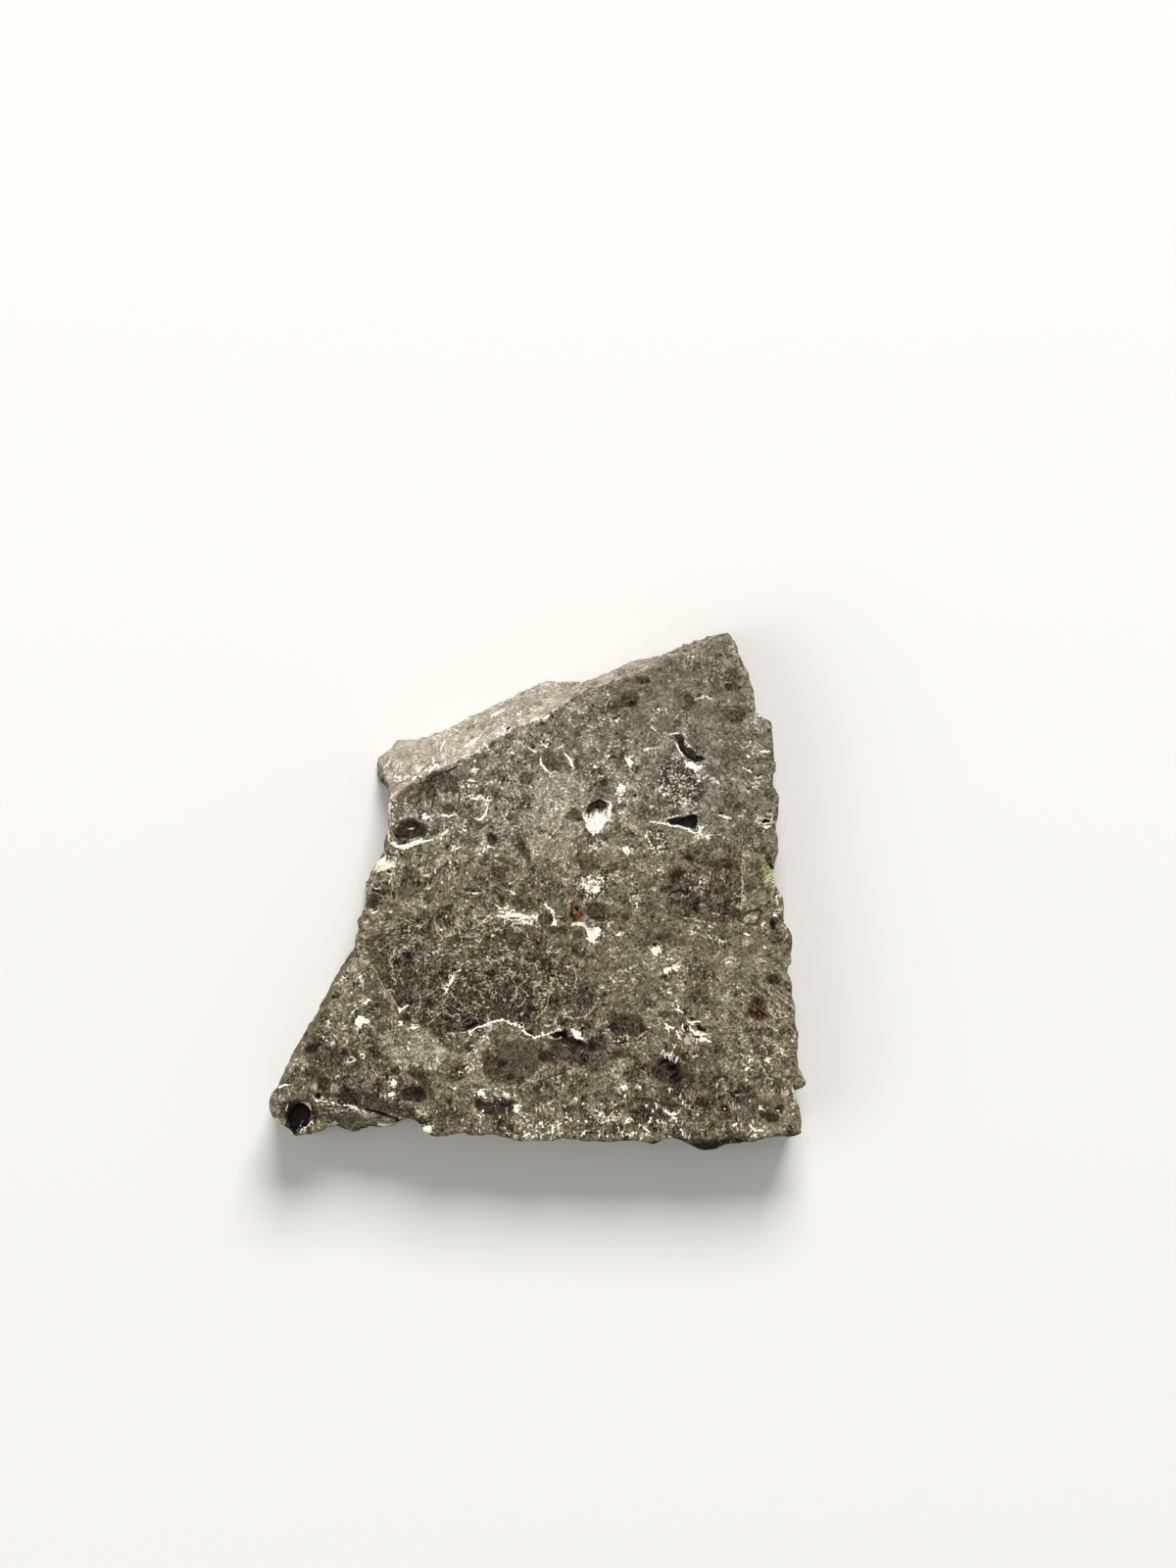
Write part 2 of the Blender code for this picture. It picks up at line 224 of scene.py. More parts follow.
@dataclass(frozen=True)
class Area:
    """An angular mark, given by its corners in order."""

    corners: tuple[Point, ...]

    def box(self) -> Box:
        """The lowest x and y and the highest x and y of the corners."""
        return box_round(self.corners)

    def inside(self, x: np.ndarray, y: np.ndarray) -> np.ndarray:
        """Measures how far inside the area some points are.

        Args:
            x: The points' x.
            y: The points' y.

        Returns:
            The distance to the nearest side, below 0 outside the area.
        """
        nearest = np.full(x.shape, NOWHERE)
        within = np.zeros(x.shape, dtype=bool)
        for here, end in enumerate(self.corners):
            start = self.corners[here - 1]
            nearest = np.minimum(nearest, beside(start, end, x, y)[1])
            if start[1] != end[1]:
                level = (y > start[1]) != (y > end[1])
                cross = start[0] + (y - start[1]) * (end[0] - start[0]) / (end[1] - start[1])
                within ^= level & (x < cross)
        return np.where(within, nearest, -nearest)


Shape = Oval | Line | Area


@dataclass(frozen=True)
class Look:
    """How a clast or vein differs from the fine matrix round it.

    tone is lighter above 0 and darker below. hue is greener above 0 and more purple below. fleck
    is the share of the matrix's bright flecks that it keeps, which are partly light grains and partly
    painted glints, and mottle how white it is mottled.
    """

    tone: float
    hue: float = 0.0
    fleck: float = 1.0
    mottle: float = 0.0


class Clast(Enum):
    """The kinds of clast and vein that the slice shows."""

    BROAD_DARK = Look(-0.15, 0.15, 1.1)
    PURPLE = Look(-0.095, -0.35, 1.15, 0.1)
    OLIVE = Look(-0.11, 0.4, 0.75)
    DARK_OLIVE = Look(-0.17, 0.5, 0.6)
    DARK = Look(-0.17, -0.1, 0.65)
    CLUSTER = Look(-0.1, -0.35, 1.25, 0.12)
    MAUVE = Look(-0.12, -0.5, 0.75)
    # Painted shade: dark patches in hollows, over the raised vug floors and the corner break, and on the lump
    # at the lower edge.
    SHADOW = Look(-0.21, 0.0, 0.4)
    GLASS = Look(-0.24, 0.35, 0.2)
    PALE = Look(0.1, 0.1, 0.95)
    PALE_GREEN = Look(0.145, 0.55, 1.2, 0.05)
    MOTTLED = Look(0.02, -0.1, 1.2, 1.0)
    DARK_MOTTLED = Look(-0.08, -0.3, 1.2, 0.7)
    DARK_PURPLE = Look(-0.135, -0.35, 0.95, 0.2)
    DISC = Look(-0.1, 0.4, 0.55)
    BEVEL = Look(0.03, -0.15, 0.3)
    BLUISH = Look(0.0, 0.25, 1.1)
    VEIN = Look(0.2, 0.0, 0.9)
    BUFF = Look(0.16, -0.1, 0.6, 0.2)


# Large clasts, which smaller ones lie on.
LARGE_CLASTS: dict[Clast, tuple[Shape, ...]] = {
    Clast.BROAD_DARK: (
        Area(((-5.0, -1.5), (-4.3, -1.1), (-3.3, -0.55), (-2.3, -0.75), (-1.4, -1.0), (-0.5, -1.15),
            (0.3, -1.3), (0.45, -2.2), (0.35, -3.1), (0.05, -3.7), (-0.1, -4.15), (-0.95, -3.78),
            (-1.7, -3.92), (-2.2, -4.1), (-3.4, -3.95), (-3.95, -3.6), (-4.1, -3.3), (-4.45, -2.8),
            (-4.8, -2.2))),
    ),
    Clast.PURPLE: (
        Area(((4.35, 1.3), (4.8, 1.45), (5.4, 1.5), (5.8, 1.1), (6.0, 0.5), (5.95, -0.2), (5.9, -0.85),
            (5.4, -1.0), (4.8, -0.85), (4.1, -0.75), (3.75, -0.4), (3.85, 0.2), (4.15, 0.8))),
    ),
    Clast.DISC: (
        Area(((-1.6, -4.9), (-1.45, -4.55), (-1.1, -4.4), (-0.5, -4.35), (0.0, -4.45), (0.1, -4.8),
            (0.0, -5.15), (-0.2, -5.5), (-0.7, -5.7), (-1.2, -5.65), (-1.55, -5.4))),
    ),
    Clast.DARK: (
        # The first area is painted shade below the ridge on the upper left.
        Area(((-3.4, 3.1), (-3.0, 3.5), (-2.6, 3.5), (-2.3, 3.3), (-2.1, 3.0), (-2.3, 2.8), (-3.2, 2.85))),
        Area(((3.3, -5.2), (3.6, -4.8), (4.0, -4.9), (4.2, -5.2), (4.6, -5.4), (4.5, -5.7), (4.0, -5.8),
            (3.5, -5.5))),
        Area(((0.4, -4.25), (0.75, -4.0), (1.1, -4.15), (1.35, -4.6), (1.2, -4.95), (0.7, -4.95),
            (0.4, -4.7))),
        Area(((-5.8, -5.95), (-5.0, -6.15), (-4.4, -6.4), (-3.6, -6.65), (-3.2, -6.8), (-3.3, -6.45),
            (-4.2, -6.2), (-5.0, -5.85), (-5.6, -5.7))),
    ),
    Clast.PALE_GREEN: (
        Area(((-4.6, -4.15), (-3.9, -4.02), (-3.1, -4.12), (-2.7, -4.5), (-2.72, -4.95), (-3.0, -5.25),
            (-3.6, -5.05), (-4.2, -5.0), (-4.65, -4.6))), Oval(6.78, 0.5, 0.22, 0.35),
        Oval(6.2, 5.0, 0.35, 0.25),
    ),
    Clast.MOTTLED: (
        Area(((3.6, 3.9), (4.1, 3.95), (4.35, 3.6), (4.75, 3.4), (4.8, 3.0), (4.7, 2.6), (4.3, 2.4),
            (3.9, 2.5), (3.6, 2.8), (3.5, 3.3))),
        Area(((3.2, 1.85), (3.6, 1.9), (3.9, 1.4), (3.7, 1.0), (3.3, 1.1), (3.15, 1.5))),
        Oval(-2.1, 2.95, 0.35, 0.4),
        Area(((0.95, 0.25), (1.2, 0.45), (1.6, 0.5), (2.05, 0.5), (2.1, 0.2), (1.9, -0.1), (1.6, -0.2),
            (1.2, 0.0))),
    ),
    Clast.PALE: (
        Line(0.44, ((-1.5, -4.35), (-1.75, -4.75), (-1.72, -5.3), (-1.35, -5.75), (-0.8, -5.85),
            (-0.3, -5.65), (0.08, -5.2))),
        Line(0.2, ((-1.95, -5.0), (-2.0, -5.6), (-1.85, -6.3), (-1.6, -6.9))), Oval(4.6, 0.5, 0.3, 0.22),
        Area(((-0.2, 1.6), (-0.1, 2.4), (0.1, 3.3), (0.9, 3.4), (1.5, 3.2), (1.5, 2.5), (1.3, 1.7),
            (0.9, 1.5), (0.9, 1.0), (0.4, 0.9), (-0.1, 1.0))), Oval(5.4, -5.15, 0.45, 0.25),
        Oval(5.75, 5.42, 0.35, 0.1),
    ),
    Clast.CLUSTER: (
        Area(((0.5, -2.25), (0.9, -2.05), (1.3, -2.3), (1.7, -2.9), (1.8, -3.5), (1.6, -4.0), (1.3, -4.3),
            (0.6, -4.1), (0.45, -3.3))),
        Area(((0.9, -4.4), (1.5, -4.3), (2.1, -4.5), (2.3, -4.85), (1.7, -5.0), (1.0, -4.9))),
    ),
    Clast.MAUVE: (
        Oval(-6.0, -4.8, 0.45, 0.3, 10.0), Oval(-4.65, -3.4, 0.38, 0.3), Oval(3.85, -5.95, 0.4, 0.3),
    ),
}

# Smaller clasts and veins, and patches of painted shade.
SMALL_CLASTS: dict[Clast, tuple[Shape, ...]] = {
    Clast.VEIN: (
        Oval(-3.35, 0.66, 0.09), Oval(6.2, -0.78, 0.17, 0.09, 20.0), Oval(-2.2, 1.0, 0.22, 0.12),
        Oval(1.55, 0.2, 0.34, 0.17, -15.0), Oval(4.4, -4.35, 0.4, 0.12), Oval(7.18, -5.86, 0.13, 0.1),
    ),
    Clast.BEVEL: (
        Line(0.34, ((-5.5, -1.9), (-5.66, -2.2), (-6.04, -2.85), (-6.44, -3.6), (-6.94, -4.5),
            (-7.36, -5.3))),
    ),
    Clast.BUFF: (
        Area(((-4.95, -6.5), (-4.5, -6.6), (-4.1, -6.7), (-4.2, -6.9), (-4.6, -6.95))),
        Oval(-3.4, 4.4, 0.14, 0.18), Oval(-5.0, -0.95, 0.16, 0.2), Oval(-5.05, 0.35, 0.12, 0.15),
    ),
    Clast.GLASS: (
        Oval(5.45, -6.3, 0.17, 0.1, -35.0), Oval(6.6, -6.45, 0.15, 0.12), Oval(6.85, -6.58, 0.2, 0.13),
        Oval(7.05, -6.33, 0.14),
        Area(((-1.88, -5.98), (-1.4, -6.12), (-0.95, -6.05), (-0.5, -6.15), (-0.85, -6.42), (-1.15, -6.52),
            (-1.55, -6.48), (-1.8, -6.25))),
        Area(((-3.95, -5.75), (-3.6, -5.68), (-3.3, -5.75), (-3.25, -6.0), (-3.45, -6.15), (-3.9, -6.12),
            (-4.0, -5.9))),
    ),
    Clast.DARK_OLIVE: (
        Area(((5.3, 6.3), (5.55, 6.5), (5.8, 6.45), (5.95, 6.2), (5.78, 6.0), (5.72, 5.8), (5.5, 5.8),
            (5.45, 6.1))),
        Area(((0.15, 3.9), (0.22, 4.1), (0.4, 4.1), (0.55, 3.95), (0.85, 3.85), (0.85, 3.6), (0.6, 3.43),
            (0.4, 3.5), (0.2, 3.6))),
        Area(((1.03, 3.9), (1.15, 3.97), (1.27, 3.85), (1.27, 3.6), (1.1, 3.52))),
        Area(((0.8, 2.2), (1.1, 2.5), (1.3, 2.3), (1.3, 2.05), (1.1, 2.0), (0.9, 2.08))),
        Area(((2.1, -3.45), (2.35, -3.6), (2.9, -3.55), (3.1, -3.75), (3.05, -4.05), (2.75, -4.25),
            (2.3, -4.2), (2.05, -3.95))), Oval(-0.3, 3.3, 0.24, 0.21), Oval(-0.42, 1.25, 0.12, 0.5, 20.0),
        Oval(2.38, 3.72, 0.09, 0.26, -20.0), Oval(-3.5, -5.32, 0.26, 0.16, -30.0),
        Oval(5.5, 0.8, 0.34, 0.18), Oval(-6.2, -5.6, 0.22, 0.18), Oval(-2.6, 2.4, 0.22, 0.16),
        Oval(1.2, -1.24, 0.16, 0.14), Oval(5.5, -0.78, 0.25, 0.13), Oval(4.45, -0.35, 0.2, 0.16),
    ),
    Clast.OLIVE: (
        Oval(1.6, 5.2, 0.12, 0.24), Oval(1.95, 3.2, 0.15), Oval(5.7, 2.6, 0.24),
        Oval(3.42, -0.48, 0.3, 0.14, -15.0), Oval(1.8, 3.95, 0.15), Oval(6.7, 1.6, 0.24, 0.11),
        Oval(3.3, -6.5, 0.5, 0.28, -10.0),
    ),
    Clast.DARK: (
        Line(0.24, ((-6.15, -5.88), (-5.5, -6.05), (-4.85, -6.22), (-4.3, -6.32), (-3.8, -6.42))),
        Area(((-2.7, -5.5), (-2.45, -5.15), (-2.2, -5.0), (-1.95, -5.1), (-2.05, -5.45), (-2.4, -5.55))),
        Area(((5.35, 5.25), (5.5, 5.3), (6.05, 5.25), (6.1, 5.1), (5.95, 4.95), (5.7, 4.9), (5.5, 5.05))),
        Area(((1.4, -0.55), (1.7, -0.3), (2.1, -0.4), (2.2, -0.75), (1.9, -0.9), (1.55, -0.85))),
        Line(0.07, ((6.0, -0.68), (6.2, -0.58), (6.45, -0.5), (6.55, -0.58), (6.45, -0.85), (6.3, -0.97))),
        Oval(2.7, 5.6, 0.28, 0.22), Oval(2.32, -4.7, 0.17, 0.13), Oval(3.3, -3.25, 0.22, 0.12, -25.0),
        Oval(3.7, -3.6, 0.17, 0.12), Oval(6.35, 1.22, 0.24, 0.08, -12.0),
        Oval(0.3, -0.75, 0.28, 0.18, -40.0), Oval(1.25, -1.75, 0.19), Oval(0.65, -1.6, 0.08, 0.1),
        Oval(-1.7, 1.9, 0.25, 0.1, 30.0), Oval(5.2, -4.6, 0.12, 0.14), Oval(-6.2, -3.62, 0.2, 0.22),
        Oval(-6.6, -5.25, 0.28, 0.18), Oval(2.35, -6.85, 0.18, 0.14), Oval(2.75, -6.68, 0.13, 0.16),
        Oval(1.7, -4.45, 0.3, 0.22), Oval(6.15, 0.1, 0.16, 0.12), Oval(-4.55, -0.05, 0.16, 0.07, 15.0),
    ),
    Clast.MAUVE: (
        Area(((1.15, 0.7), (1.5, 0.95), (1.8, 0.75), (1.7, 0.5), (1.3, 0.45))), Oval(2.45, 0.8, 0.22, 0.19),
        Oval(5.4, 0.2, 0.34, 0.18), Oval(5.15, -0.75, 0.5, 0.14, -10.0), Oval(6.55, -4.6, 0.3, 0.15),
    ),
    Clast.DARK_MOTTLED: (
        Area(((4.0, 3.9), (4.35, 3.6), (4.75, 3.4), (4.88, 2.9), (4.65, 2.5), (4.3, 2.45), (4.15, 2.8),
            (4.3, 3.2), (4.0, 3.5))),
    ),
    Clast.DARK_PURPLE: (
        Area(((4.2, -0.1), (4.3, 0.3), (4.5, 0.1), (4.7, -0.35), (4.45, -0.62), (4.1, -0.5))),
        Area(((5.3, 0.45), (5.7, 0.6), (5.85, 0.15), (5.6, -0.15), (5.35, 0.05))),
        Area(((4.95, -0.5), (5.4, -0.45), (5.8, -0.62), (5.7, -0.9), (5.2, -0.88))),
    ),
    Clast.BLUISH: (
        Area(((4.45, 0.2), (4.6, 0.7), (4.9, 0.85), (5.05, 0.35), (4.85, -0.1), (4.6, -0.2))),
        Oval(5.3, 1.1, 0.34, 0.16, 10.0), Oval(2.3, 4.55, 0.22, 0.18), Oval(-2.55, -0.1, 0.3, 0.16),
    ),
    Clast.SHADOW: (
        Area(((-4.15, 1.9), (-3.9, 2.08), (-3.6, 2.12), (-3.35, 2.0), (-3.15, 1.85), (-3.2, 1.6),
            (-3.5, 1.52), (-3.8, 1.5), (-4.05, 1.6))),
        Area(((-7.34, -6.5), (-7.26, -6.16), (-7.0, -6.0), (-6.66, -6.04), (-6.42, -6.24), (-6.34, -6.5),
            (-6.5, -6.76), (-6.74, -6.9), (-7.0, -7.1), (-7.3, -7.2))),
        Area(((4.5, -7.2), (5.3, -7.15), (5.25, -7.62), (4.55, -7.6))),
        Area(((3.5, -5.0), (3.66, -4.74), (3.95, -4.8), (4.2, -5.0), (4.3, -5.3), (4.12, -5.6),
            (3.85, -5.62), (3.72, -5.35))), Oval(2.64, 5.5, 0.1, 0.09), Oval(0.5, -1.15, 0.15, 0.08, 10.0),
        Oval(-1.3, 1.53, 0.17, 0.18, 20.0), Oval(-6.55, -4.57, 0.21, 0.17),
        Oval(6.93, -2.56, 0.2, 0.15, -15.0), Oval(0.85, -4.45, 0.3, 0.16, -20.0),
        Oval(-4.8, -0.3, 0.2, 0.22), Oval(-4.5, -0.02, 0.12), Oval(-3.6, -5.95, 0.2, 0.12),
    ),
}

# White grains and white veins, and painted highlights on the lower rims of holes, where light from the top
# falls.
WHITES_AND_RIM_HIGHLIGHTS: tuple[Shape, ...] = (
    Line(0.14, ((1.44, 2.24), (1.47, 1.98), (1.56, 1.74))),
    Line(0.15, ((1.6, 2.26), (1.64, 1.95), (1.68, 1.6))),
    Line(0.14, ((1.77, 2.34), (1.79, 2.0), (1.78, 1.68))),
    Line(0.14, ((1.95, 2.42), (1.94, 2.15), (1.88, 1.84))),
    Line(0.12, ((2.12, 2.55), (2.11, 2.3), (2.03, 2.05))),
    Line(0.05, ((1.4, 2.34), (1.38, 2.15), (1.44, 2.0))),
    Line(0.04, ((1.9, 2.66), (2.1, 2.62), (2.2, 2.5))),
    Area(((1.5, 2.1), (1.75, 2.25), (2.0, 2.35), (1.95, 2.05), (1.75, 1.8), (1.6, 1.8))),
    Line(0.12, ((0.96, -0.98), (1.1, -0.92), (1.3, -0.94), (1.45, -1.06), (1.52, -1.25), (1.56, -1.46))),
    Area(((1.5, -1.12), (1.68, -1.02), (1.84, -1.12), (1.86, -1.3), (1.72, -1.4), (1.62, -1.5),
        (1.52, -1.3))),
    Area(((-4.95, 0.55), (-4.75, 0.8), (-4.45, 1.12), (-4.3, 1.05), (-4.12, 0.98), (-4.15, 0.7),
        (-4.4, 0.62), (-4.7, 0.55))),
    Area(((-4.42, 2.2), (-4.38, 2.5), (-4.25, 2.6), (-4.2, 2.4), (-4.3, 2.2))),
    Area(((-3.4, 2.2), (-3.2, 2.3), (-3.05, 2.12), (-3.3, 2.08))),
    Area(((2.55, 3.85), (2.68, 3.93), (2.8, 3.78), (2.78, 3.62), (2.65, 3.66))),
    Area(((2.25, 2.92), (2.4, 3.15), (2.58, 3.08), (2.6, 2.87), (2.45, 2.9))),
    Area(((3.66, -6.33), (3.8, -6.42), (4.0, -6.42), (4.12, -6.37), (3.98, -6.51), (3.8, -6.49))),
    Area(((-1.78, -5.8), (-1.65, -5.77), (-1.38, -5.98), (-1.45, -6.03), (-1.7, -5.93))),
    Area(((-3.55, -6.78), (-3.4, -6.85), (-3.1, -6.8), (-3.12, -7.05), (-3.3, -7.12))),
    Area(((-5.35, -3.75), (-5.2, -3.6), (-5.0, -3.68), (-4.85, -3.8), (-5.1, -3.88), (-5.2, -4.05))),
    Area(((-4.3, -5.55), (-4.15, -5.45), (-4.1, -5.65), (-4.2, -5.75))),
    Line(0.07, ((4.34, -3.76), (4.46, -3.79), (4.6, -3.76), (4.76, -3.8))),
    Line(0.09, ((4.44, -3.88), (4.5, -4.02), (4.62, -4.14), (4.8, -4.18), (5.0, -4.14))),
    Line(0.06, ((4.25, -3.84), (4.22, -3.95), (4.3, -4.05))),
    Area(((1.0, -3.95), (1.25, -4.08), (1.35, -4.3), (1.2, -4.38), (1.1, -4.2))),
    Area(((7.4, -5.8), (7.55, -5.85), (7.62, -6.25), (7.5, -6.2))),
    Area(((6.02, -5.05), (6.15, -5.1), (6.2, -5.25), (6.08, -5.2))),
    Line(0.11, ((-1.22, -0.72), (-0.95, -0.74), (-0.6, -0.68), (-0.3, -0.76), (-0.02, -0.8))),
    Line(0.05, ((-1.1, -0.58), (-0.85, -0.62), (-0.6, -0.56))),
    Line(0.05, ((-0.95, -0.86), (-0.55, -0.83), (-0.25, -0.88))),
    Line(0.045, ((0.1, -0.3), (0.35, -0.48), (0.5, -0.72), (0.5, -0.95), (0.38, -1.05))),
    Oval(1.42, 0.14, 0.1, 0.05, -20.0), Oval(1.72, 0.04, 0.13, 0.09, 30.0),
    Oval(1.62, 0.27, 0.11, 0.05, 10.0), Oval(1.85, 0.36, 0.07, 0.04),
    Line(0.11, ((-4.35, 1.85), (-4.33, 1.5), (-4.12, 1.3), (-3.9, 1.27), (-3.6, 1.38), (-3.3, 1.45),
        (-3.02, 1.5))), Line(0.05, ((-2.8, 2.22), (-2.55, 2.15), (-2.3, 2.25))),
    Line(0.08, ((-1.88, 2.1), (-1.65, 2.1), (-1.5, 2.25), (-1.48, 2.45))),
    Line(0.07, ((-2.8, 1.58), (-2.55, 1.8))), Line(0.05, ((-2.45, 1.3), (-2.35, 1.2), (-2.22, 1.3))),
    Line(0.06, ((-1.56, 1.34), (-1.45, 1.25), (-1.36, 1.36))), Line(0.06, ((-0.78, 0.02), (-0.62, -0.1))),
    Line(0.05, ((-1.3, -0.35), (-1.05, -0.5), (-0.75, -0.45))),
    Line(0.08, ((0.78, 4.02), (0.92, 3.82), (1.0, 3.65), (1.1, 3.58))),
    Line(0.06, ((0.08, 3.92), (0.15, 3.65), (0.25, 3.5), (0.4, 3.42))),
    Line(0.06, ((-0.1, 5.0), (0.05, 4.97), (0.25, 5.02), (0.4, 5.2), (0.62, 5.32))),
    Line(0.06, ((0.08, 4.42), (0.15, 4.28), (0.3, 4.2), (0.36, 4.32))),
    Line(0.06, ((3.1, 4.1), (3.3, 4.18))), Line(0.04, ((3.35, 4.85), (3.4, 4.72), (3.5, 4.68))),
    Line(0.05, ((-1.68, 2.82), (-1.5, 2.6))), Line(0.04, ((-1.4, 2.82), (-1.5, 2.6), (-1.52, 2.45))),
    Line(0.05, ((-2.05, 3.22), (-1.8, 3.2))), Line(0.06, ((-1.92, 3.42), (-1.78, 3.55))),
    Line(0.06, ((-2.0, 2.68), (-1.75, 2.66), (-1.66, 2.8))),
    Line(0.06, ((-1.38, 5.1), (-1.15, 5.22), (-0.96, 5.3))),
    Line(0.05, ((-2.15, 4.2), (-1.8, 4.45), (-1.5, 4.75))), Line(0.05, ((-2.85, 4.05), (-2.75, 4.42))),
    Line(0.05, ((-3.05, 3.95), (-2.98, 3.65), (-3.2, 3.38))), Line(0.04, ((-4.55, 3.55), (-4.3, 3.85))),
    Line(0.05, ((4.02, 4.36), (4.08, 4.2), (4.2, 4.02), (4.33, 3.86))),
    Line(0.06, ((4.3, 3.84), (4.38, 3.66), (4.52, 3.64), (4.66, 3.6), (4.82, 3.66))),
    Area(((4.34, 3.8), (4.46, 3.78), (4.6, 3.7), (4.76, 3.66), (4.8, 3.56), (4.6, 3.53), (4.42, 3.6),
        (4.33, 3.68))), Line(0.03, ((4.3, 4.44), (4.42, 4.28), (4.55, 4.16), (4.68, 4.02))),
    Line(0.04, ((3.78, 4.5), (3.95, 4.56), (4.18, 4.6))),
    Line(0.07, ((3.25, 1.98), (3.75, 1.98), (4.1, 1.93), (4.4, 1.83), (4.6, 1.7), (4.78, 1.72))),
    Oval(4.76, 1.77, 0.1, 0.07, 40.0), Line(0.03, ((3.6, 2.08), (4.0, 2.19), (4.6, 2.25))),
    Line(0.06, ((5.28, 2.26), (5.5, 2.17), (5.66, 2.1))),
    Line(0.05, ((4.88, 1.55), (4.95, 1.48), (5.05, 1.52))),
    Line(0.06, ((6.5, 1.93), (6.68, 1.84), (6.87, 1.93))), Line(0.05, ((6.84, 0.6), (6.96, 0.56))),
    Line(0.06, ((5.95, 3.62), (6.15, 3.5), (6.26, 3.42))), Line(0.04, ((6.08, 3.98), (6.22, 3.91))),
    Line(0.05, ((6.36, 3.3), (6.45, 3.27), (6.52, 3.35))), Oval(6.62, 4.05, 0.07, 0.03),
    Oval(6.28, 3.0, 0.07, 0.04, 20.0), Oval(7.02, -0.15, 0.1, 0.05), Oval(2.9, -0.42, 0.04, 0.06),
    Oval(2.6, 1.22, 0.11, 0.09), Oval(3.44, -1.7, 0.15, 0.13), Oval(4.0, -2.19, 0.11, 0.08),
    Oval(3.77, -2.29, 0.1, 0.09, 30.0), Line(0.05, ((5.32, -1.42), (5.4, -1.5), (5.48, -1.42))),
    Line(0.06, ((6.02, -1.22), (6.18, -1.3))), Line(0.06, ((6.52, -1.58), (6.66, -1.7))),
    Line(0.05, ((5.44, -2.08), (5.55, -2.1), (5.58, -1.98))), Line(0.06, ((6.95, -0.7), (7.0, -0.78))),
    Oval(6.52, -0.93, 0.05, 0.03), Oval(4.85, -1.12, 0.05, 0.04), Oval(5.12, -1.38, 0.06, 0.03),
    Line(0.08, ((4.05, -4.0), (4.1, -4.2), (4.16, -4.32))),
    Line(0.09, ((4.68, -4.32), (4.85, -4.3), (5.08, -4.38))), Line(0.05, ((3.98, -3.42), (4.28, -3.55))),
    Line(0.06, ((3.7, -3.84), (3.85, -3.95), (4.02, -3.95))), Line(0.05, ((3.95, -4.6), (4.06, -4.42))),
    Line(0.04, ((3.58, -4.76), (3.68, -4.6))), Oval(2.55, -5.72, 0.1, 0.06),
    Oval(0.55, -5.55, 0.08, 0.05, -40.0), Oval(-0.25, -7.12, 0.13, 0.06),
    Oval(0.43, -6.95, 0.05, 0.1, 10.0), Oval(-0.6, -6.35, 0.07, 0.12, 10.0), Oval(-1.08, -6.62, 0.04),
    Oval(-1.7, -4.98, 0.05), Oval(-2.0, -5.13, 0.05), Oval(-0.88, -5.93, 0.07, 0.03, -20.0),
    Oval(-2.25, -5.28, 0.08, 0.04), Line(0.06, ((-5.1, -3.22), (-4.95, -3.27), (-4.87, -3.1))),
    Line(0.04, ((-5.46, -3.68), (-5.35, -3.45), (-5.22, -3.35))),
    Line(0.05, ((-5.53, -4.98), (-5.42, -4.82), (-5.3, -4.92), (-5.4, -5.03), (-5.53, -5.0))),
    Line(0.04, ((-5.18, -4.82), (-5.12, -4.72), (-5.04, -4.8), (-5.12, -4.88))), Oval(-4.25, -5.93, 0.07),
    Line(0.07, ((-3.76, -4.0), (-3.38, -3.97))), Line(0.06, ((-4.03, -3.78), (-3.88, -3.8))),
    Line(0.05, ((-3.98, -3.42), (-3.72, -3.3))), Line(0.05, ((-2.62, -2.85), (-2.55, -2.6), (-2.5, -2.5))),
    Line(0.07, ((-2.27, -4.1), (-1.98, -4.12), (-1.78, -3.98), (-1.5, -3.86), (-1.0, -3.75), (-0.85, -3.8),
        (-0.5, -3.95), (-0.3, -4.12), (-0.05, -4.24), (0.25, -4.19), (0.5, -4.09), (0.78, -3.97))),
    Oval(0.45, -2.58, 0.08, 0.05), Line(0.08, ((-7.55, -5.68), (-7.35, -5.62), (-7.18, -5.58))),
    Oval(-6.15, -4.23, 0.07, 0.04, -20.0), Oval(-5.15, -2.52, 0.05), Oval(-5.58, -2.5, 0.05, 0.03),
    Oval(-5.87, -6.42, 0.06, 0.04), Line(0.035, ((-6.45, -6.0), (-6.1, -6.12), (-5.7, -6.22))),
    Line(0.07, ((-5.66, -6.2), (-5.4, -6.28), (-5.12, -6.36))),
    Line(0.03, ((-6.1, -6.3), (-5.6, -6.4), (-5.15, -6.46))),
    Area(((-6.15, -6.88), (-6.05, -6.76), (-5.92, -6.85), (-5.9, -7.0), (-6.08, -7.03))),
    Area(((-4.75, -6.85), (-4.4, -6.84), (-4.15, -6.82), (-4.18, -6.95), (-4.7, -6.99))),
    Line(0.05, ((6.1, -4.78), (6.3, -4.98))), Line(0.05, ((6.5, -5.05), (6.63, -5.32))),
    Line(0.06, ((6.2, -6.85), (6.35, -6.95), (6.62, -6.98))), Oval(5.8, -6.8, 0.07, 0.04),
    Oval(6.66, -4.93, 0.06, 0.04), Oval(3.5, 5.33, 0.07, 0.04, -40.0), Oval(-0.7, 4.02, 0.08, 0.05),
    Oval(-1.38, 4.16, 0.08, 0.03), Oval(-0.45, 4.2, 0.06, 0.03, 20.0), Oval(1.8, 3.6, 0.05, 0.04),
    Oval(1.35, 5.22, 0.07, 0.04), Oval(1.35, -1.7, 0.03), Oval(-2.1, 1.76, 0.06, 0.05),
    Oval(-4.05, 3.3, 0.08, 0.05), Oval(-3.6, 3.3, 0.09, 0.06), Oval(-0.92, 4.62, 0.07, 0.03, -50.0),
    Line(0.04, ((4.66, 5.6), (4.72, 5.62), (4.86, 5.7))),
    Line(0.04, ((4.9, 5.68), (4.97, 5.62), (5.1, 5.6))),
)

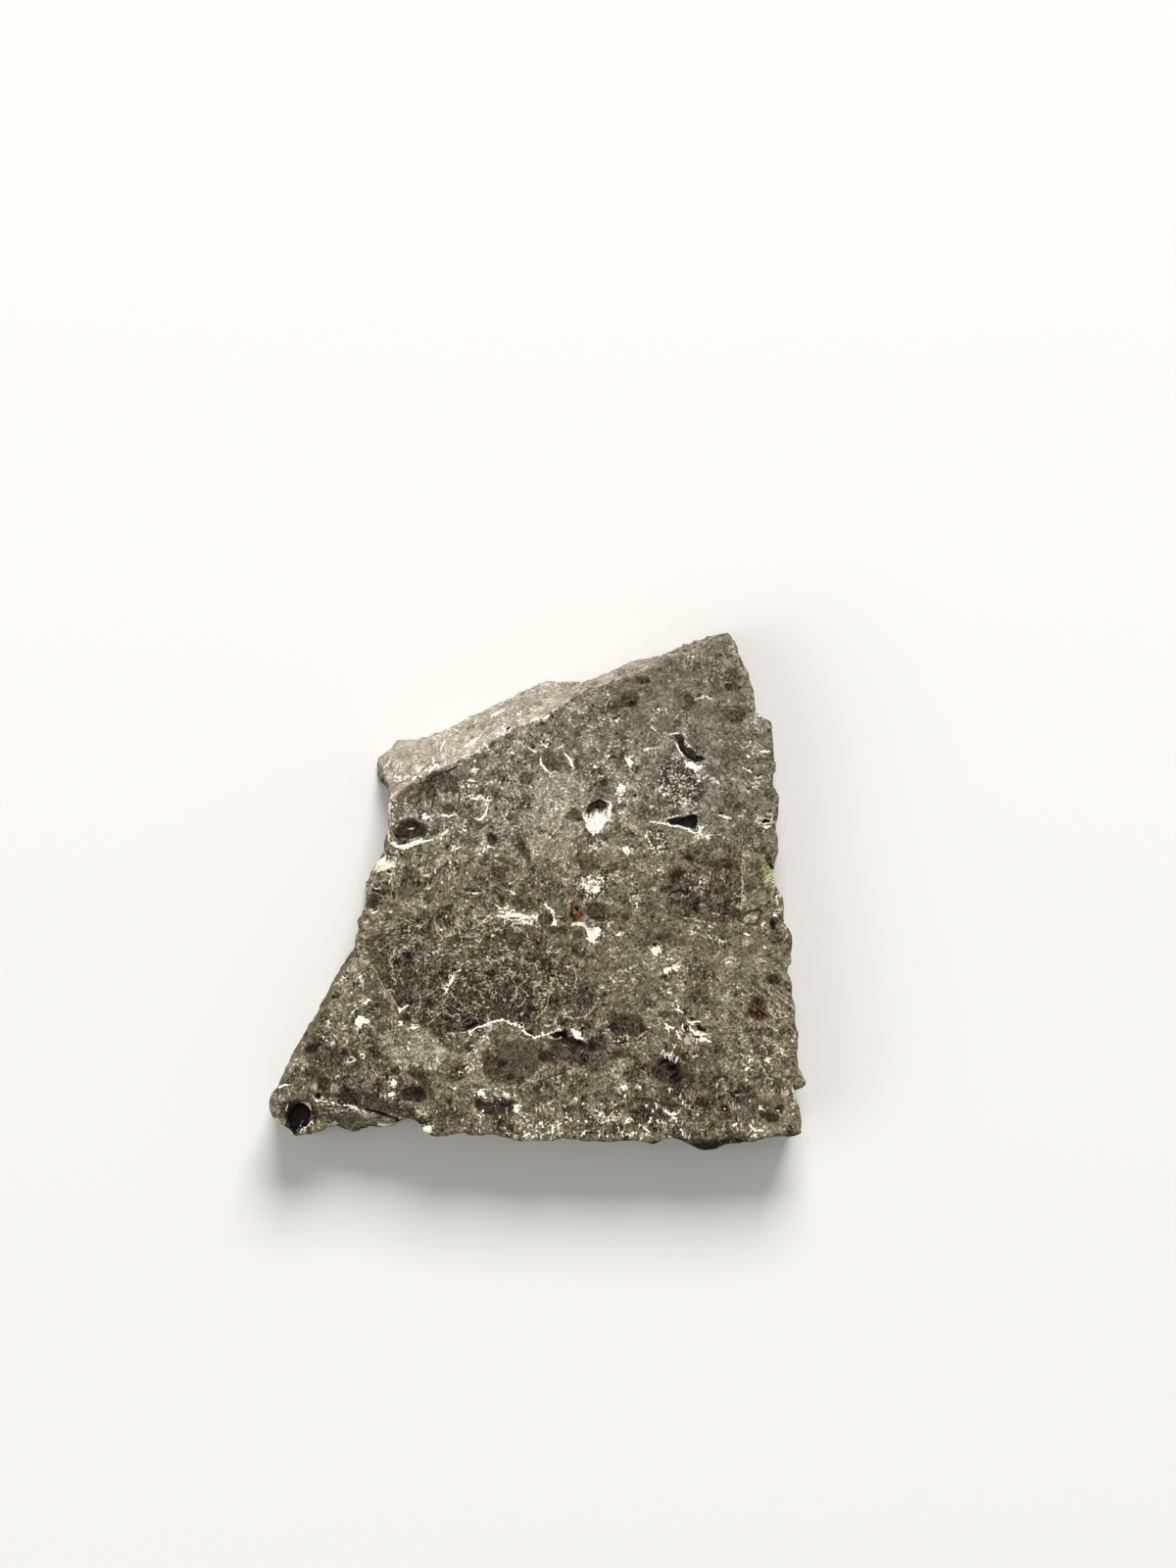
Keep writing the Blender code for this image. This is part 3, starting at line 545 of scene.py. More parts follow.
# Paler veins and borders of clasts.
PALE_VEINS: tuple[Line, ...] = (
    Line(0.054, ((-4.95, -2.0), (-4.6, -2.45), (-4.42, -2.85), (-4.05, -3.35), (-3.95, -3.6))),
    Line(0.054, ((0.45, -2.3), (0.4, -2.9), (0.25, -3.4), (0.0, -3.75), (-0.1, -4.0))),
    Line(0.048, ((2.1, -4.25), (2.5, -4.45), (2.8, -4.4), (3.1, -4.1), (3.4, -3.95))),
    Line(0.042, ((5.97, 0.95), (5.98, 0.3), (5.93, -0.3), (5.95, -0.6))),
    Line(0.036, ((4.3, -0.8), (4.8, -0.85), (5.05, -0.95))),
    Line(0.036, ((4.2, 1.28), (4.5, 1.4), (4.75, 1.55), (5.35, 1.62), (5.7, 1.45))),
    Line(0.036, ((0.2, -0.3), (0.45, -0.55), (0.52, -0.9), (0.4, -1.05))),
    Line(0.07, ((-2.6, -2.85), (-2.48, -2.55), (-2.15, -2.05))),
    Line(0.035, ((-2.85, -3.35), (-2.5, -2.9), (-2.3, -2.5))), Line(0.048, ((-2.2, -1.32), (-1.7, -1.33))),
    Line(0.042, ((-2.4, -1.05), (-2.0, -1.08))), Line(0.036, ((-1.65, -1.05), (-1.3, -0.95))),
    Line(0.035, ((5.9, 4.22), (6.3, 4.22), (6.62, 4.18))), Line(0.035, ((6.65, 3.5), (6.85, 3.15))),
    Line(0.035, ((5.4, 3.6), (5.6, 3.28))),
    Line(0.04, ((0.5, -2.2), (0.62, -2.7), (0.95, -3.0), (1.2, -3.45))),
    Line(0.04, ((0.7, -3.5), (1.05, -3.7), (1.5, -3.55), (1.75, -3.2))),
    Line(0.035, ((1.0, -2.1), (1.15, -2.5), (1.05, -2.9))),
    Line(0.036, ((0.3, 1.5), (0.65, 1.8), (0.7, 2.3))), Line(0.035, ((-2.0, -1.58), (-1.7, -1.6))),
    Line(0.035, ((-2.6, -3.45), (-2.9, -3.6), (-3.2, -3.9))),
    Line(0.035, ((-2.45, -2.5), (-2.6, -2.85), (-3.0, -3.25))),
    Line(0.035, ((3.5, -0.35), (3.65, -0.45), (3.85, -0.65), (4.2, -0.8))),
    Line(0.035, ((2.4, -1.15), (2.65, -1.35))),
)

# Open holes and gaps, painted black inside as shade.
HOLES: tuple[Shape, ...] = (
    Area(((3.68, 2.08), (3.99, 2.15), (4.29, 2.14), (4.5, 2.21), (4.66, 2.21), (4.65, 2.06), (4.59, 1.83),
        (4.4, 1.86), (4.12, 1.98), (3.89, 2.01))),
    Area(((-7.3, -6.5), (-7.22, -6.26), (-7.1, -6.14), (-6.92, -6.12), (-6.74, -6.2), (-6.6, -6.3),
        (-6.56, -6.5), (-6.66, -6.66), (-6.78, -6.86), (-7.0, -7.04), (-7.3, -7.25), (-7.2, -6.84))),
    Line(0.07, ((4.02, 4.46), (4.11, 4.3), (4.23, 4.12), (4.4, 3.91), (4.6, 3.8), (4.8, 3.78))),
    Line(0.09, ((4.62, 3.9), (4.76, 3.86), (4.88, 3.84))), Line(0.04, ((3.9, 4.44), (3.98, 4.42))),
    Line(0.04, ((4.2, 4.5), (4.24, 4.3), (4.36, 4.2))),
    Line(0.06, ((-4.2, 1.82), (-4.05, 1.6), (-3.98, 1.45))),
    Line(0.09, ((1.48, 2.42), (1.62, 2.53), (1.82, 2.61), (2.02, 2.6))),
    Area(((0.35, -4.2), (0.75, -4.03), (0.9, -4.05), (0.85, -4.2), (0.5, -4.28))),
    Line(0.12, ((-2.17, -4.05), (-1.95, -3.96), (-1.74, -3.84))),
    Line(0.1, ((-0.34, -4.05), (-0.05, -4.18))),
    Area(((4.6, -3.9), (4.74, -3.88), (4.96, -4.02), (4.9, -4.1), (4.7, -4.04))),
    Area(((4.38, -3.66), (4.5, -3.63), (4.6, -3.71), (4.48, -3.74))),
    Area(((4.27, -3.97), (4.36, -3.89), (4.42, -3.94), (4.33, -3.99))),
    Line(0.05, ((-2.78, 3.46), (-2.55, 3.5), (-2.4, 3.6), (-2.18, 3.62))),
    Line(0.12, ((-5.0, -6.33), (-4.75, -6.42), (-4.45, -6.5), (-4.2, -6.6))),
    Line(0.1, ((-4.36, -6.54), (-3.98, -6.66), (-3.68, -6.65), (-3.38, -6.72), (-3.07, -6.69))),
    Oval(4.75, 5.67, 0.07, 0.035, 20.0), Oval(5.0, 5.67, 0.06, 0.035, -25.0), Oval(6.66, 2.03, 0.12, 0.045),
    Oval(6.82, 0.74, 0.055, 0.13, 35.0), Oval(6.86, -0.97, 0.09, 0.15, 5.0),
    Line(0.12, ((0.5, -4.18), (0.75, -4.16), (0.9, -4.3))),
    Line(0.12, ((1.0, -4.36), (1.2, -4.4), (1.36, -4.5))),
    Line(0.14, ((3.56, -5.06), (3.7, -4.96), (3.84, -4.9))),
    Line(0.16, ((3.76, -5.22), (3.9, -5.12), (4.08, -5.0))),
    Line(0.14, ((3.84, -5.46), (3.98, -5.34), (4.16, -5.14))),
    Line(0.09, ((3.98, -5.6), (4.1, -5.48), (4.2, -5.36))), Oval(-0.84, 4.7, 0.05, 0.08, -20.0),
    Oval(-6.38, -5.93, 0.09, 0.07, -30.0), Oval(-5.9, -6.37, 0.045, 0.04), Oval(-5.01, -0.84, 0.035, 0.03),
    Oval(-4.66, 0.15, 0.06, 0.035), Oval(-4.3, 0.96, 0.07, 0.04, 60.0), Oval(-4.32, 0.56, 0.06, 0.04),
    Oval(-5.42, -4.94, 0.05, 0.04), Oval(1.55, 1.38, 0.035), Oval(2.85, 2.79, 0.04, 0.06),
    Oval(1.34, 5.26, 0.04, 0.025), Oval(-3.2, 0.52, 0.05, 0.03), Oval(-1.85, 0.0, 0.1, 0.03),
    Oval(-0.15, 4.22, 0.09, 0.04, -30.0), Oval(0.2, 4.33, 0.06, 0.035, -20.0),
    Oval(0.45, -2.47, 0.045, 0.06), Oval(3.42, -1.55, 0.075, 0.06), Oval(6.45, 3.35, 0.05, 0.03),
    Oval(1.15, -0.5, 0.06, 0.05), Oval(3.32, 4.2, 0.08, 0.02, 15.0), Oval(5.38, 2.28, 0.06, 0.03, -30.0),
    Oval(5.41, -1.42, 0.05, 0.04),
)

# Light streaks that cross the black openings.
STREAKS: tuple[Line, ...] = (
    Line(0.035, ((-7.2, -6.16), (-7.26, -6.32), (-7.24, -6.5))),
    Line(0.03, ((-6.84, -6.46), (-7.0, -6.72), (-7.2, -7.04))),
    Line(0.04, ((-6.7, -6.56), (-6.86, -6.8), (-7.08, -7.08))),
    Line(0.03, ((-6.56, -6.6), (-6.74, -6.86), (-6.96, -7.06))), Line(0.05, ((3.66, -4.98), (3.8, -4.7))),
    Line(0.07, ((3.84, -4.96), (3.97, -4.64))), Line(0.05, ((4.0, -5.0), (4.13, -4.74))),
)

# Thin dark outlines, less deep than a crack.
DARK_LINES: tuple[Line, ...] = (
    Line(0.08, ((5.98, -0.86), (6.06, -0.7), (6.2, -0.58), (6.42, -0.53), (6.55, -0.57))),
    Line(0.07, ((6.55, -0.57), (6.48, -0.78), (6.34, -0.92), (6.12, -0.98), (5.98, -0.88))),
    Line(0.06, ((3.72, -0.4), (3.95, -0.72), (4.4, -0.92), (4.9, -0.98))),
    Line(0.05, ((-4.2, 3.02), (-3.6, 3.38), (-3.1, 3.68), (-2.7, 3.82))),
    Line(0.06, ((5.42, 5.34), (5.75, 5.36), (6.05, 5.3))),
    Line(0.05, ((1.0, -5.15), (0.6, -5.3), (0.2, -5.45), (-0.1, -5.75))),
    Line(0.06, ((-0.2, -0.35), (0.05, -0.62), (0.12, -0.95), (0.3, -1.1))),
    Line(0.05, ((3.3, -3.95), (3.1, -4.25), (2.7, -4.42), (2.2, -4.35))),
    Line(0.06, ((2.6, -6.2), (3.0, -6.05), (3.5, -6.15), (3.9, -6.25))),
    Line(0.05, ((-6.0, -4.1), (-5.8, -4.45), (-5.85, -4.8))),
)

# Hollows, whose floors are painted dark brown as shade.
HOLLOWS: tuple[Shape, ...] = (
    Area(((1.45, 2.3), (1.5, 2.42), (1.65, 2.55), (1.9, 2.63), (2.06, 2.6), (1.95, 2.48), (1.75, 2.38),
        (1.55, 2.24))),
    Area(((4.02, 4.5), (4.12, 4.58), (4.26, 4.5), (4.28, 4.34), (4.4, 4.2), (4.57, 4.07), (4.66, 3.94),
        (4.84, 3.88), (4.8, 3.76), (4.6, 3.79), (4.4, 3.92), (4.23, 4.13), (4.12, 4.3))),
    Area(((-4.06, 1.78), (-3.94, 1.94), (-3.8, 1.98), (-3.7, 2.1), (-3.5, 2.08), (-3.42, 1.94),
        (-3.26, 1.84), (-3.18, 1.7), (-3.28, 1.58), (-3.52, 1.56), (-3.7, 1.48), (-3.86, 1.54), (-4.0, 1.5),
        (-4.1, 1.62))), Oval(-1.3, 1.53, 0.15, 0.16, 20.0), Oval(-6.55, -4.57, 0.18, 0.14),
    Oval(6.9, -2.53, 0.2, 0.15, -20.0), Oval(2.32, -4.72, 0.1, 0.08),
    Area(((0.42, -4.08), (0.75, -4.04), (0.95, -4.22), (1.3, -4.3), (1.5, -4.5), (1.3, -4.6), (1.0, -4.5),
        (0.75, -4.42), (0.48, -4.3))),
    Area(((0.0, -4.75), (0.2, -4.6), (0.45, -4.7), (0.4, -4.9), (0.1, -4.95))),
)

# Rusty stains.
RUST: tuple[Shape, ...] = (
    Oval(4.05, 0.5, 0.24, 0.18), Oval(1.13, -0.65, 0.16, 0.22), Oval(2.57, -0.72, 0.1, 0.09),
    Oval(6.4, -3.2, 0.2, 0.16), Oval(6.42, -3.5, 0.28, 0.2, -20.0), Oval(1.6, -4.5, 0.12, 0.1),
    Oval(4.45, 0.95, 0.12, 0.1),
)


# Yellow-green stains: x, y and radius.
STAINS: tuple[tuple[float, float, float], ...] = (
    (6.74, 0.45, 0.22), (6.62, 0.7, 0.18),
)


@dataclass(frozen=True)
class SoftPatch:
    """A broad, soft change of tone on the top face, partly painted light, and of the strength of the bright
    flecks, which are partly painted glints.
    """

    x: float
    y: float
    across: float
    along: float
    tone: float
    fleck: float = 0.0


# Partly painted light: the patches lighten the upper part of the top face and darken the lower part, as light
# falling from the top would; the rest of their tone is the stone's own.
SOFT_PATCHES: tuple[SoftPatch, ...] = (
    SoftPatch(5.2, 5.0, 2.4, 3.0, 0.0, -0.45), SoftPatch(3.0, 5.5, 1.8, 1.2, 0.0, -0.3),
    SoftPatch(6.4, -2.0, 1.3, 1.6, 0.0, -0.4), SoftPatch(0.5, 3.3, 4.5, 2.0, 0.065, 0.1),
    SoftPatch(5.0, 5.2, 2.5, 2.0, 0.03, 0.0), SoftPatch(2.4, -1.8, 1.6, 1.4, 0.015, -0.3),
    SoftPatch(-5.8, -5.2, 2.0, 1.6, -0.045, 0.1), SoftPatch(-0.5, -6.2, 4.5, 1.2, -0.05, 0.25),
    SoftPatch(4.6, -5.9, 2.2, 1.3, -0.09, 0.0), SoftPatch(2.0, -6.9, 2.4, 0.5, 0.03, 0.7),
    SoftPatch(-2.8, 1.0, 2.0, 1.6, 0.0, 0.2), SoftPatch(1.1, -3.4, 0.9, 1.3, -0.03, 0.1),
    SoftPatch(-1.5, -3.0, 1.7, 0.9, -0.035, -0.1), SoftPatch(-3.7, -1.6, 1.0, 0.7, 0.035, 0.1),
    SoftPatch(-1.2, 4.2, 1.6, 0.5, -0.02, 0.0), SoftPatch(-2.0, -1.9, 1.3, 0.9, 0.03, 0.35),
    SoftPatch(-3.2, -3.3, 0.9, 0.6, -0.03, -0.1), SoftPatch(-0.6, -2.7, 0.8, 0.9, -0.025, -0.1),
    SoftPatch(6.0, -1.9, 1.4, 1.4, 0.03, 0.0), SoftPatch(1.5, 1.2, 5.0, 2.5, 0.012, 0.0),
)


# Small moves of the outline: x, y, and how far the stone is pushed there to the right and up.
PUSHES: tuple[tuple[float, float, float, float], ...] = (
    (-7.67, -6.54, -0.11, -0.05), (-7.18, -6.93, -0.02, -0.17), (-6.58, -7.02, 0.0, -0.14),
    (-5.85, -6.92, 0.0, -0.15), (-5.12, -6.94, 0.0, -0.1), (-4.39, -6.82, 0.0, -0.06),
    (-3.05, -7.04, 0.0, 0.05), (-1.59, -7.05, 0.0, 0.11), (-0.85, -7.14, 0.0, 0.1),
    (1.33, -7.23, 0.0, 0.08), (4.15, -7.24, 0.0, 0.1), (4.85, -7.49, 0.0, -0.1), (6.27, -7.27, 0.0, -0.05),
    (7.6, -6.0, 0.1, 0.0), (7.73, -5.45, 0.06, 0.0), (7.57, -4.77, 0.06, 0.0), (7.32, -1.13, 0.03, 0.0),
    (7.19, -0.39, 0.12, 0.0), (6.88, 0.5, -0.07, 0.0), (6.71, 4.86, -0.06, 0.0), (6.32, 5.57, -0.04, -0.02),
    (5.8, 7.1, 0.05, 0.03), (3.18, 6.75, 0.02, -0.06), (-1.15, 5.45, -0.02, 0.05),
    (-1.86, 5.12, -0.02, 0.05), (-4.56, 3.83, -0.1, 0.03), (-4.35, 1.73, 0.08, 0.0),
    (-6.17, -3.1, 0.05, -0.02), (-6.54, -3.78, 0.07, -0.03), (-6.92, -4.44, 0.07, -0.03),
    (-7.31, -5.16, 0.04, -0.02),
)


# Small clasts that are scattered between the placed ones: how many, and the radii's least and most.
SCATTERED_CLASTS: dict[Clast, tuple[int, float, float]] = {
    Clast.DARK: (130, 0.05, 0.2),
    Clast.OLIVE: (70, 0.06, 0.26),
    Clast.DARK_OLIVE: (50, 0.05, 0.16),
    Clast.MAUVE: (50, 0.08, 0.26),
    Clast.VEIN: (100, 0.03, 0.1),
    Clast.PALE: (70, 0.08, 0.28),
}


def placed(name: str, data: bpy.types.ID) -> bpy.types.Object:
    """Makes an object of some data and puts it into the scene.

    Args:
        name: The object's name.
        data: Its mesh, light or camera.

    Returns:
        The object.
    """
    made = bpy.data.objects.new(name, data)
    bpy.context.scene.collection.objects.link(made)
    return made


def bent_path(start: Point, length: float, turns: list[float]) -> tuple[Point, ...]:
    """Follows a path of equal steps.

    Args:
        start: Where the path starts.
        length: A step's length.
        turns: The direction of each step, in radians.

    Returns:
        The path's points.
    """
    points = [start]
    for turn in turns:
        x, y = points[-1]
        points.append((x + length * math.cos(turn), y + length * math.sin(turn)))
    return tuple(points)


@dataclass
class TopMap:
    """Reads the marks of the top face at many points."""

    x: np.ndarray
    y: np.ndarray

    def _near(self, box: Box, reach: float) -> np.ndarray:
        """Finds the points near a mark.

        Args:
            box: The mark's box.
            reach: How far outside it a point may be.

        Returns:
            The points' numbers.
        """
        near = (self.x > box[0] - reach) & (self.x < box[2] + reach)
        near &= (self.y > box[1] - reach) & (self.y < box[3] + reach)
        return np.flatnonzero(near)

    def deepest(self, shapes: tuple[Shape, ...] | list[Shape]) -> np.ndarray:
        """Measures how far inside the nearest of some shapes each point is.

        Args:
            shapes: The shapes.

        Returns:
            The distance inside, in millimetres, below 0 outside and no lower than -FAR.
        """
        best = np.full(self.x.shape, -FAR)
        for shape in shapes:
            near = self._near(shape.box(), FAR)
            best[near] = np.maximum(best[near], shape.inside(self.x[near], self.y[near]))
        return best

    def lines(self, lines: list[Line]) -> tuple[np.ndarray, np.ndarray, np.ndarray]:
        """Finds the line that each point is nearest to.

        Args:
            lines: The lines.

        Returns:
            The distance with a sign for the side, half the line's width, and a number that goes
            from 1 beside the line to 0 well away from it.
        """
        best = np.full(self.x.shape, FAR)
        side = np.full(self.x.shape, FAR)
        half = np.zeros(self.x.shape)
        for line in lines:
            near = self._near(line.box(), LINE_REACH)
            gap, where, width = line.field(self.x[near], self.y[near])
            mine = gap < best[near]
            chosen = near[mine]
            best[chosen] = gap[mine]
            side[chosen] = where[mine]
            half[chosen] = width[mine]
        return side, half, smooth_step(best - np.maximum(half, 0.0), *LINE_FADE)

    def clasts(self, table: dict[Clast, tuple[Shape, ...]]) -> dict[str, np.ndarray]:
        """Finds the clast that each point is in, or the nearest one.

        Args:
            table: The shapes of each kind of clast.

        Returns:
            For each field of Look its value at each point, and as "edge" the distance inside.
        """
        best = np.full(self.x.shape, -FAR)
        looks = {name: np.zeros(self.x.shape) for name in ("tone", "hue", "fleck", "mottle")}
        looks["fleck"] += 1.0
        for clast, shapes in table.items():
            found = self.deepest(shapes)
            mine = found > best
            best = np.where(mine, found, best)
            for name, values in looks.items():
                values[mine] = getattr(clast.value, name)
        return looks | {"edge": best}


class Signal:
    """An output socket of a material. Arithmetic on it adds Math nodes."""

    def __init__(self, bench: "Bench", socket: bpy.types.NodeSocket) -> None:
        """Keeps the socket and the bench that holds its node."""
        self.bench = bench
        self.socket = socket

    def math(self, operation: str, *values: "Signal | float") -> "Signal":
        """Adds one Math node with these inputs, and gives its result."""
        made = self.bench.add("ShaderNodeMath", {"operation": operation}, dict(enumerate(values)))
        return Signal(self.bench, made.outputs[0])

    def __add__(self, other: "Signal | float") -> "Signal":
        """self + other."""
        return self.math("ADD", self, other)

    def __radd__(self, other: float) -> "Signal":
        """other + self."""
        return self.math("ADD", other, self)

    def __sub__(self, other: "Signal | float") -> "Signal":
        """self - other."""
        return self.math("SUBTRACT", self, other)

    def __rsub__(self, other: float) -> "Signal":
        """other - self."""
        return self.math("SUBTRACT", other, self)

    def __mul__(self, other: "Signal | float") -> "Signal":
        """self * other."""
        return self.math("MULTIPLY", self, other)

    def __rmul__(self, other: float) -> "Signal":
        """other * self."""
        return self.math("MULTIPLY", other, self)

    def __abs__(self) -> "Signal":
        """abs(self)."""
        return self.math("ABSOLUTE", self)

    def ease(self, low: float, high: float) -> "Signal":
        """Eases the signal from 0 at low to 1 at high, with a Map Range node.

        Args:
            low: Where the result is 0.
            high: Where the result is 1, which may be below low.

        Returns:
            The eased signal.
        """
        sockets = {"Value": self, "From Min": min(low, high), "From Max": max(low, high)}
        if low > high:
            sockets |= {"To Min": 1.0, "To Max": 0.0}
        made = self.bench.add("ShaderNodeMapRange", {"interpolation_type": "SMOOTHSTEP"}, sockets)
        return Signal(self.bench, made.outputs[0])


class Bench:
    """One material's nodes. Sizes of patterns are in millimetres."""

    def __init__(self, name: str) -> None:
        """Makes an empty material, with the object's own coordinates.

        Args:
            name: The material's name.
        """
        self.material = bpy.data.materials.new(name)
        self.material.use_nodes = True
        self.material.node_tree.nodes.clear()
        place = self.add("ShaderNodeTexCoord", {}, {})
        metres = Signal(self, place.outputs["Object"])
        self.where = self.moved(metres, "MULTIPLY", (1.0 / MM, 1.0 / MM, 1.0 / MM))

    def add(self, kind: str, settings: dict[str, object], sockets: dict) -> bpy.types.Node:
        """Adds one node.

        Args:
            kind: The node's type.
            settings: The node's own values, which are set first. A ramp's stops are given as
                "stops", a list of place and colour.
            sockets: Values or signals by the name or number of the socket.

        Returns:
            The node.
        """
        node = self.material.node_tree.nodes.new(kind)
        for name, value in settings.items():
            if name == "stops":
                self._set_stops(node, value)
            else:
                setattr(node, name, value)
        for name, value in sockets.items():
            if isinstance(value, Signal):
                self.material.node_tree.links.new(value.socket, node.inputs[name])
            else:
                node.inputs[name].default_value = value
        return node

    @staticmethod
    def _set_stops(node: bpy.types.Node, stops: tuple[tuple[float, Colour], ...]) -> None:
        """Gives a Color Ramp its stops.

        Args:
            node: The Color Ramp.
            stops: The place and colour of each stop, in order.
        """
        elements = node.color_ramp.elements
        while len(elements) < len(stops):
            elements.new(1.0)
        for element, (place, colour) in zip(elements, stops):
            element.position = place
            element.color = colour

    def moved(self, where: Signal, operation: str, by: Triple) -> Signal:
        """Multiplies a place by three numbers, or adds them to it, as the operation says."""
        made = self.add("ShaderNodeVectorMath", {"operation": operation}, {0: where, 1: by})
        return Signal(self, made.outputs[0])

    def shifted(self, where: Signal, seed: float) -> Signal:
        """Moves a place far away, so that a pattern there has nothing to do with the others."""
        return self.moved(where, "ADD", (seed * 3.7, seed * 5.3, seed * 2.9))

    def turned(self, degrees: float, size: Triple) -> Signal:
        """Turns the object's coordinates about +Z and then divides them by a pattern's size.

        Args:
            degrees: The turn.
            size: The pattern's size along, across and up.

        Returns:
            The new place.
        """
        sockets = {"Vector": self.where, "Axis": (0.0, 0.0, 1.0), "Angle": math.radians(degrees)}
        made = self.add("ShaderNodeVectorRotate", {"rotation_type": "AXIS_ANGLE"}, sockets)
        return self.moved(Signal(self, made.outputs[0]), "MULTIPLY", tuple(1.0 / part for part in size))

    def clouds(
        self, where: Signal, size: float, seed: float, detail: float = 2.0, wander: float = 0.0
    ) -> Signal:
        """Adds a noise pattern.

        Args:
            where: The place.
            size: The pattern's size.
            seed: What sets this pattern apart.
            detail: How many finer patterns it holds.
            wander: How far it is distorted.

        Returns:
            The noise, from 0 to 1 about 0.5.
        """
        sockets = {"Vector": self.shifted(where, seed), "Scale": 1.0 / size}
        sockets |= {"Detail": detail, "Distortion": wander}
        made = self.add("ShaderNodeTexNoise", {}, sockets)
        return Signal(self, made.outputs[0])

    def grains(self, size: float, seed: float) -> tuple[Signal, Signal]:
        """Adds a pattern of grains.

        Args:
            size: The grains' size.
            seed: What sets this pattern apart.

        Returns:
            The distance from a grain's middle as a share of the size, and a number from 0 to 1
            that is the grain's own.
        """
        sockets = {"Vector": self.shifted(self.where, seed), "Scale": 1.0 / size}
        made = self.add("ShaderNodeTexVoronoi", {}, sockets)
        own = self.add("ShaderNodeSeparateColor", {}, {0: Signal(self, made.outputs["Color"])})
        return Signal(self, made.outputs["Distance"]), Signal(self, own.outputs[0])

    def marks(self, name: str) -> Signal:
        """Reads one of the mesh's own numbers."""
        made = self.add("ShaderNodeAttribute", {"attribute_name": name}, {})
        return Signal(self, made.outputs["Fac"])

    def ramp(self, value: Signal, stops: tuple[tuple[float, Colour], ...]) -> Signal:
        """Turns a number into a colour, by stops that each have a place and a colour."""
        made = self.add("ShaderNodeValToRGB", {"stops": stops}, {0: value})
        return Signal(self, made.outputs[0])

    def mix(self, share: Signal | float, first: Signal, second: Signal | Colour, way: str = "MIX") -> Signal:
        """Mixes two colours.

        Args:
            share: How much of the second there is.
            first: The first colour.
            second: The second colour.
            way: The blend type.

        Returns:
            The mixed colour.
        """
        settings = {"data_type": "RGBA", "blend_type": way, "clamp_factor": True}
        made = self.add("ShaderNodeMix", settings, {0: share, 6: first, 7: second})
        return Signal(self, made.outputs[2])

    def finish(self, sockets: dict[str, object], height: Signal | None = None, depth: float = 0.0) -> None:
        """Adds the shader and the output.

        Args:
            sockets: The shader's values or signals by the name of the socket.
            height: The relief, from 0 to 1, or None for a smooth surface.
            depth: The relief's real depth, in millimetres.
        """
        if height is not None:
            bump = self.add("ShaderNodeBump", {}, {"Height": height, "Distance": depth * MM, "Strength": 1.0})
            sockets = sockets | {"Normal": Signal(self, bump.outputs[0])}
        shader = self.add("ShaderNodeBsdfPrincipled", {}, sockets)
        self.add("ShaderNodeOutputMaterial", {}, {0: Signal(self, shader.outputs[0])})


@dataclass(frozen=True)
class Fibres:
    """One direction of the felt of fibres. Sizes are in millimetres."""

    turn: float
    seed: float
    wander: float = 1.3
    size: Triple = (0.15, 0.048, 0.1)

    def build(self, bench: Bench) -> Signal:
        """Adds the pattern of the fibres to a material."""
        return bench.clouds(bench.turned(self.turn, self.size), 1.0, self.seed, 1.0, self.wander)


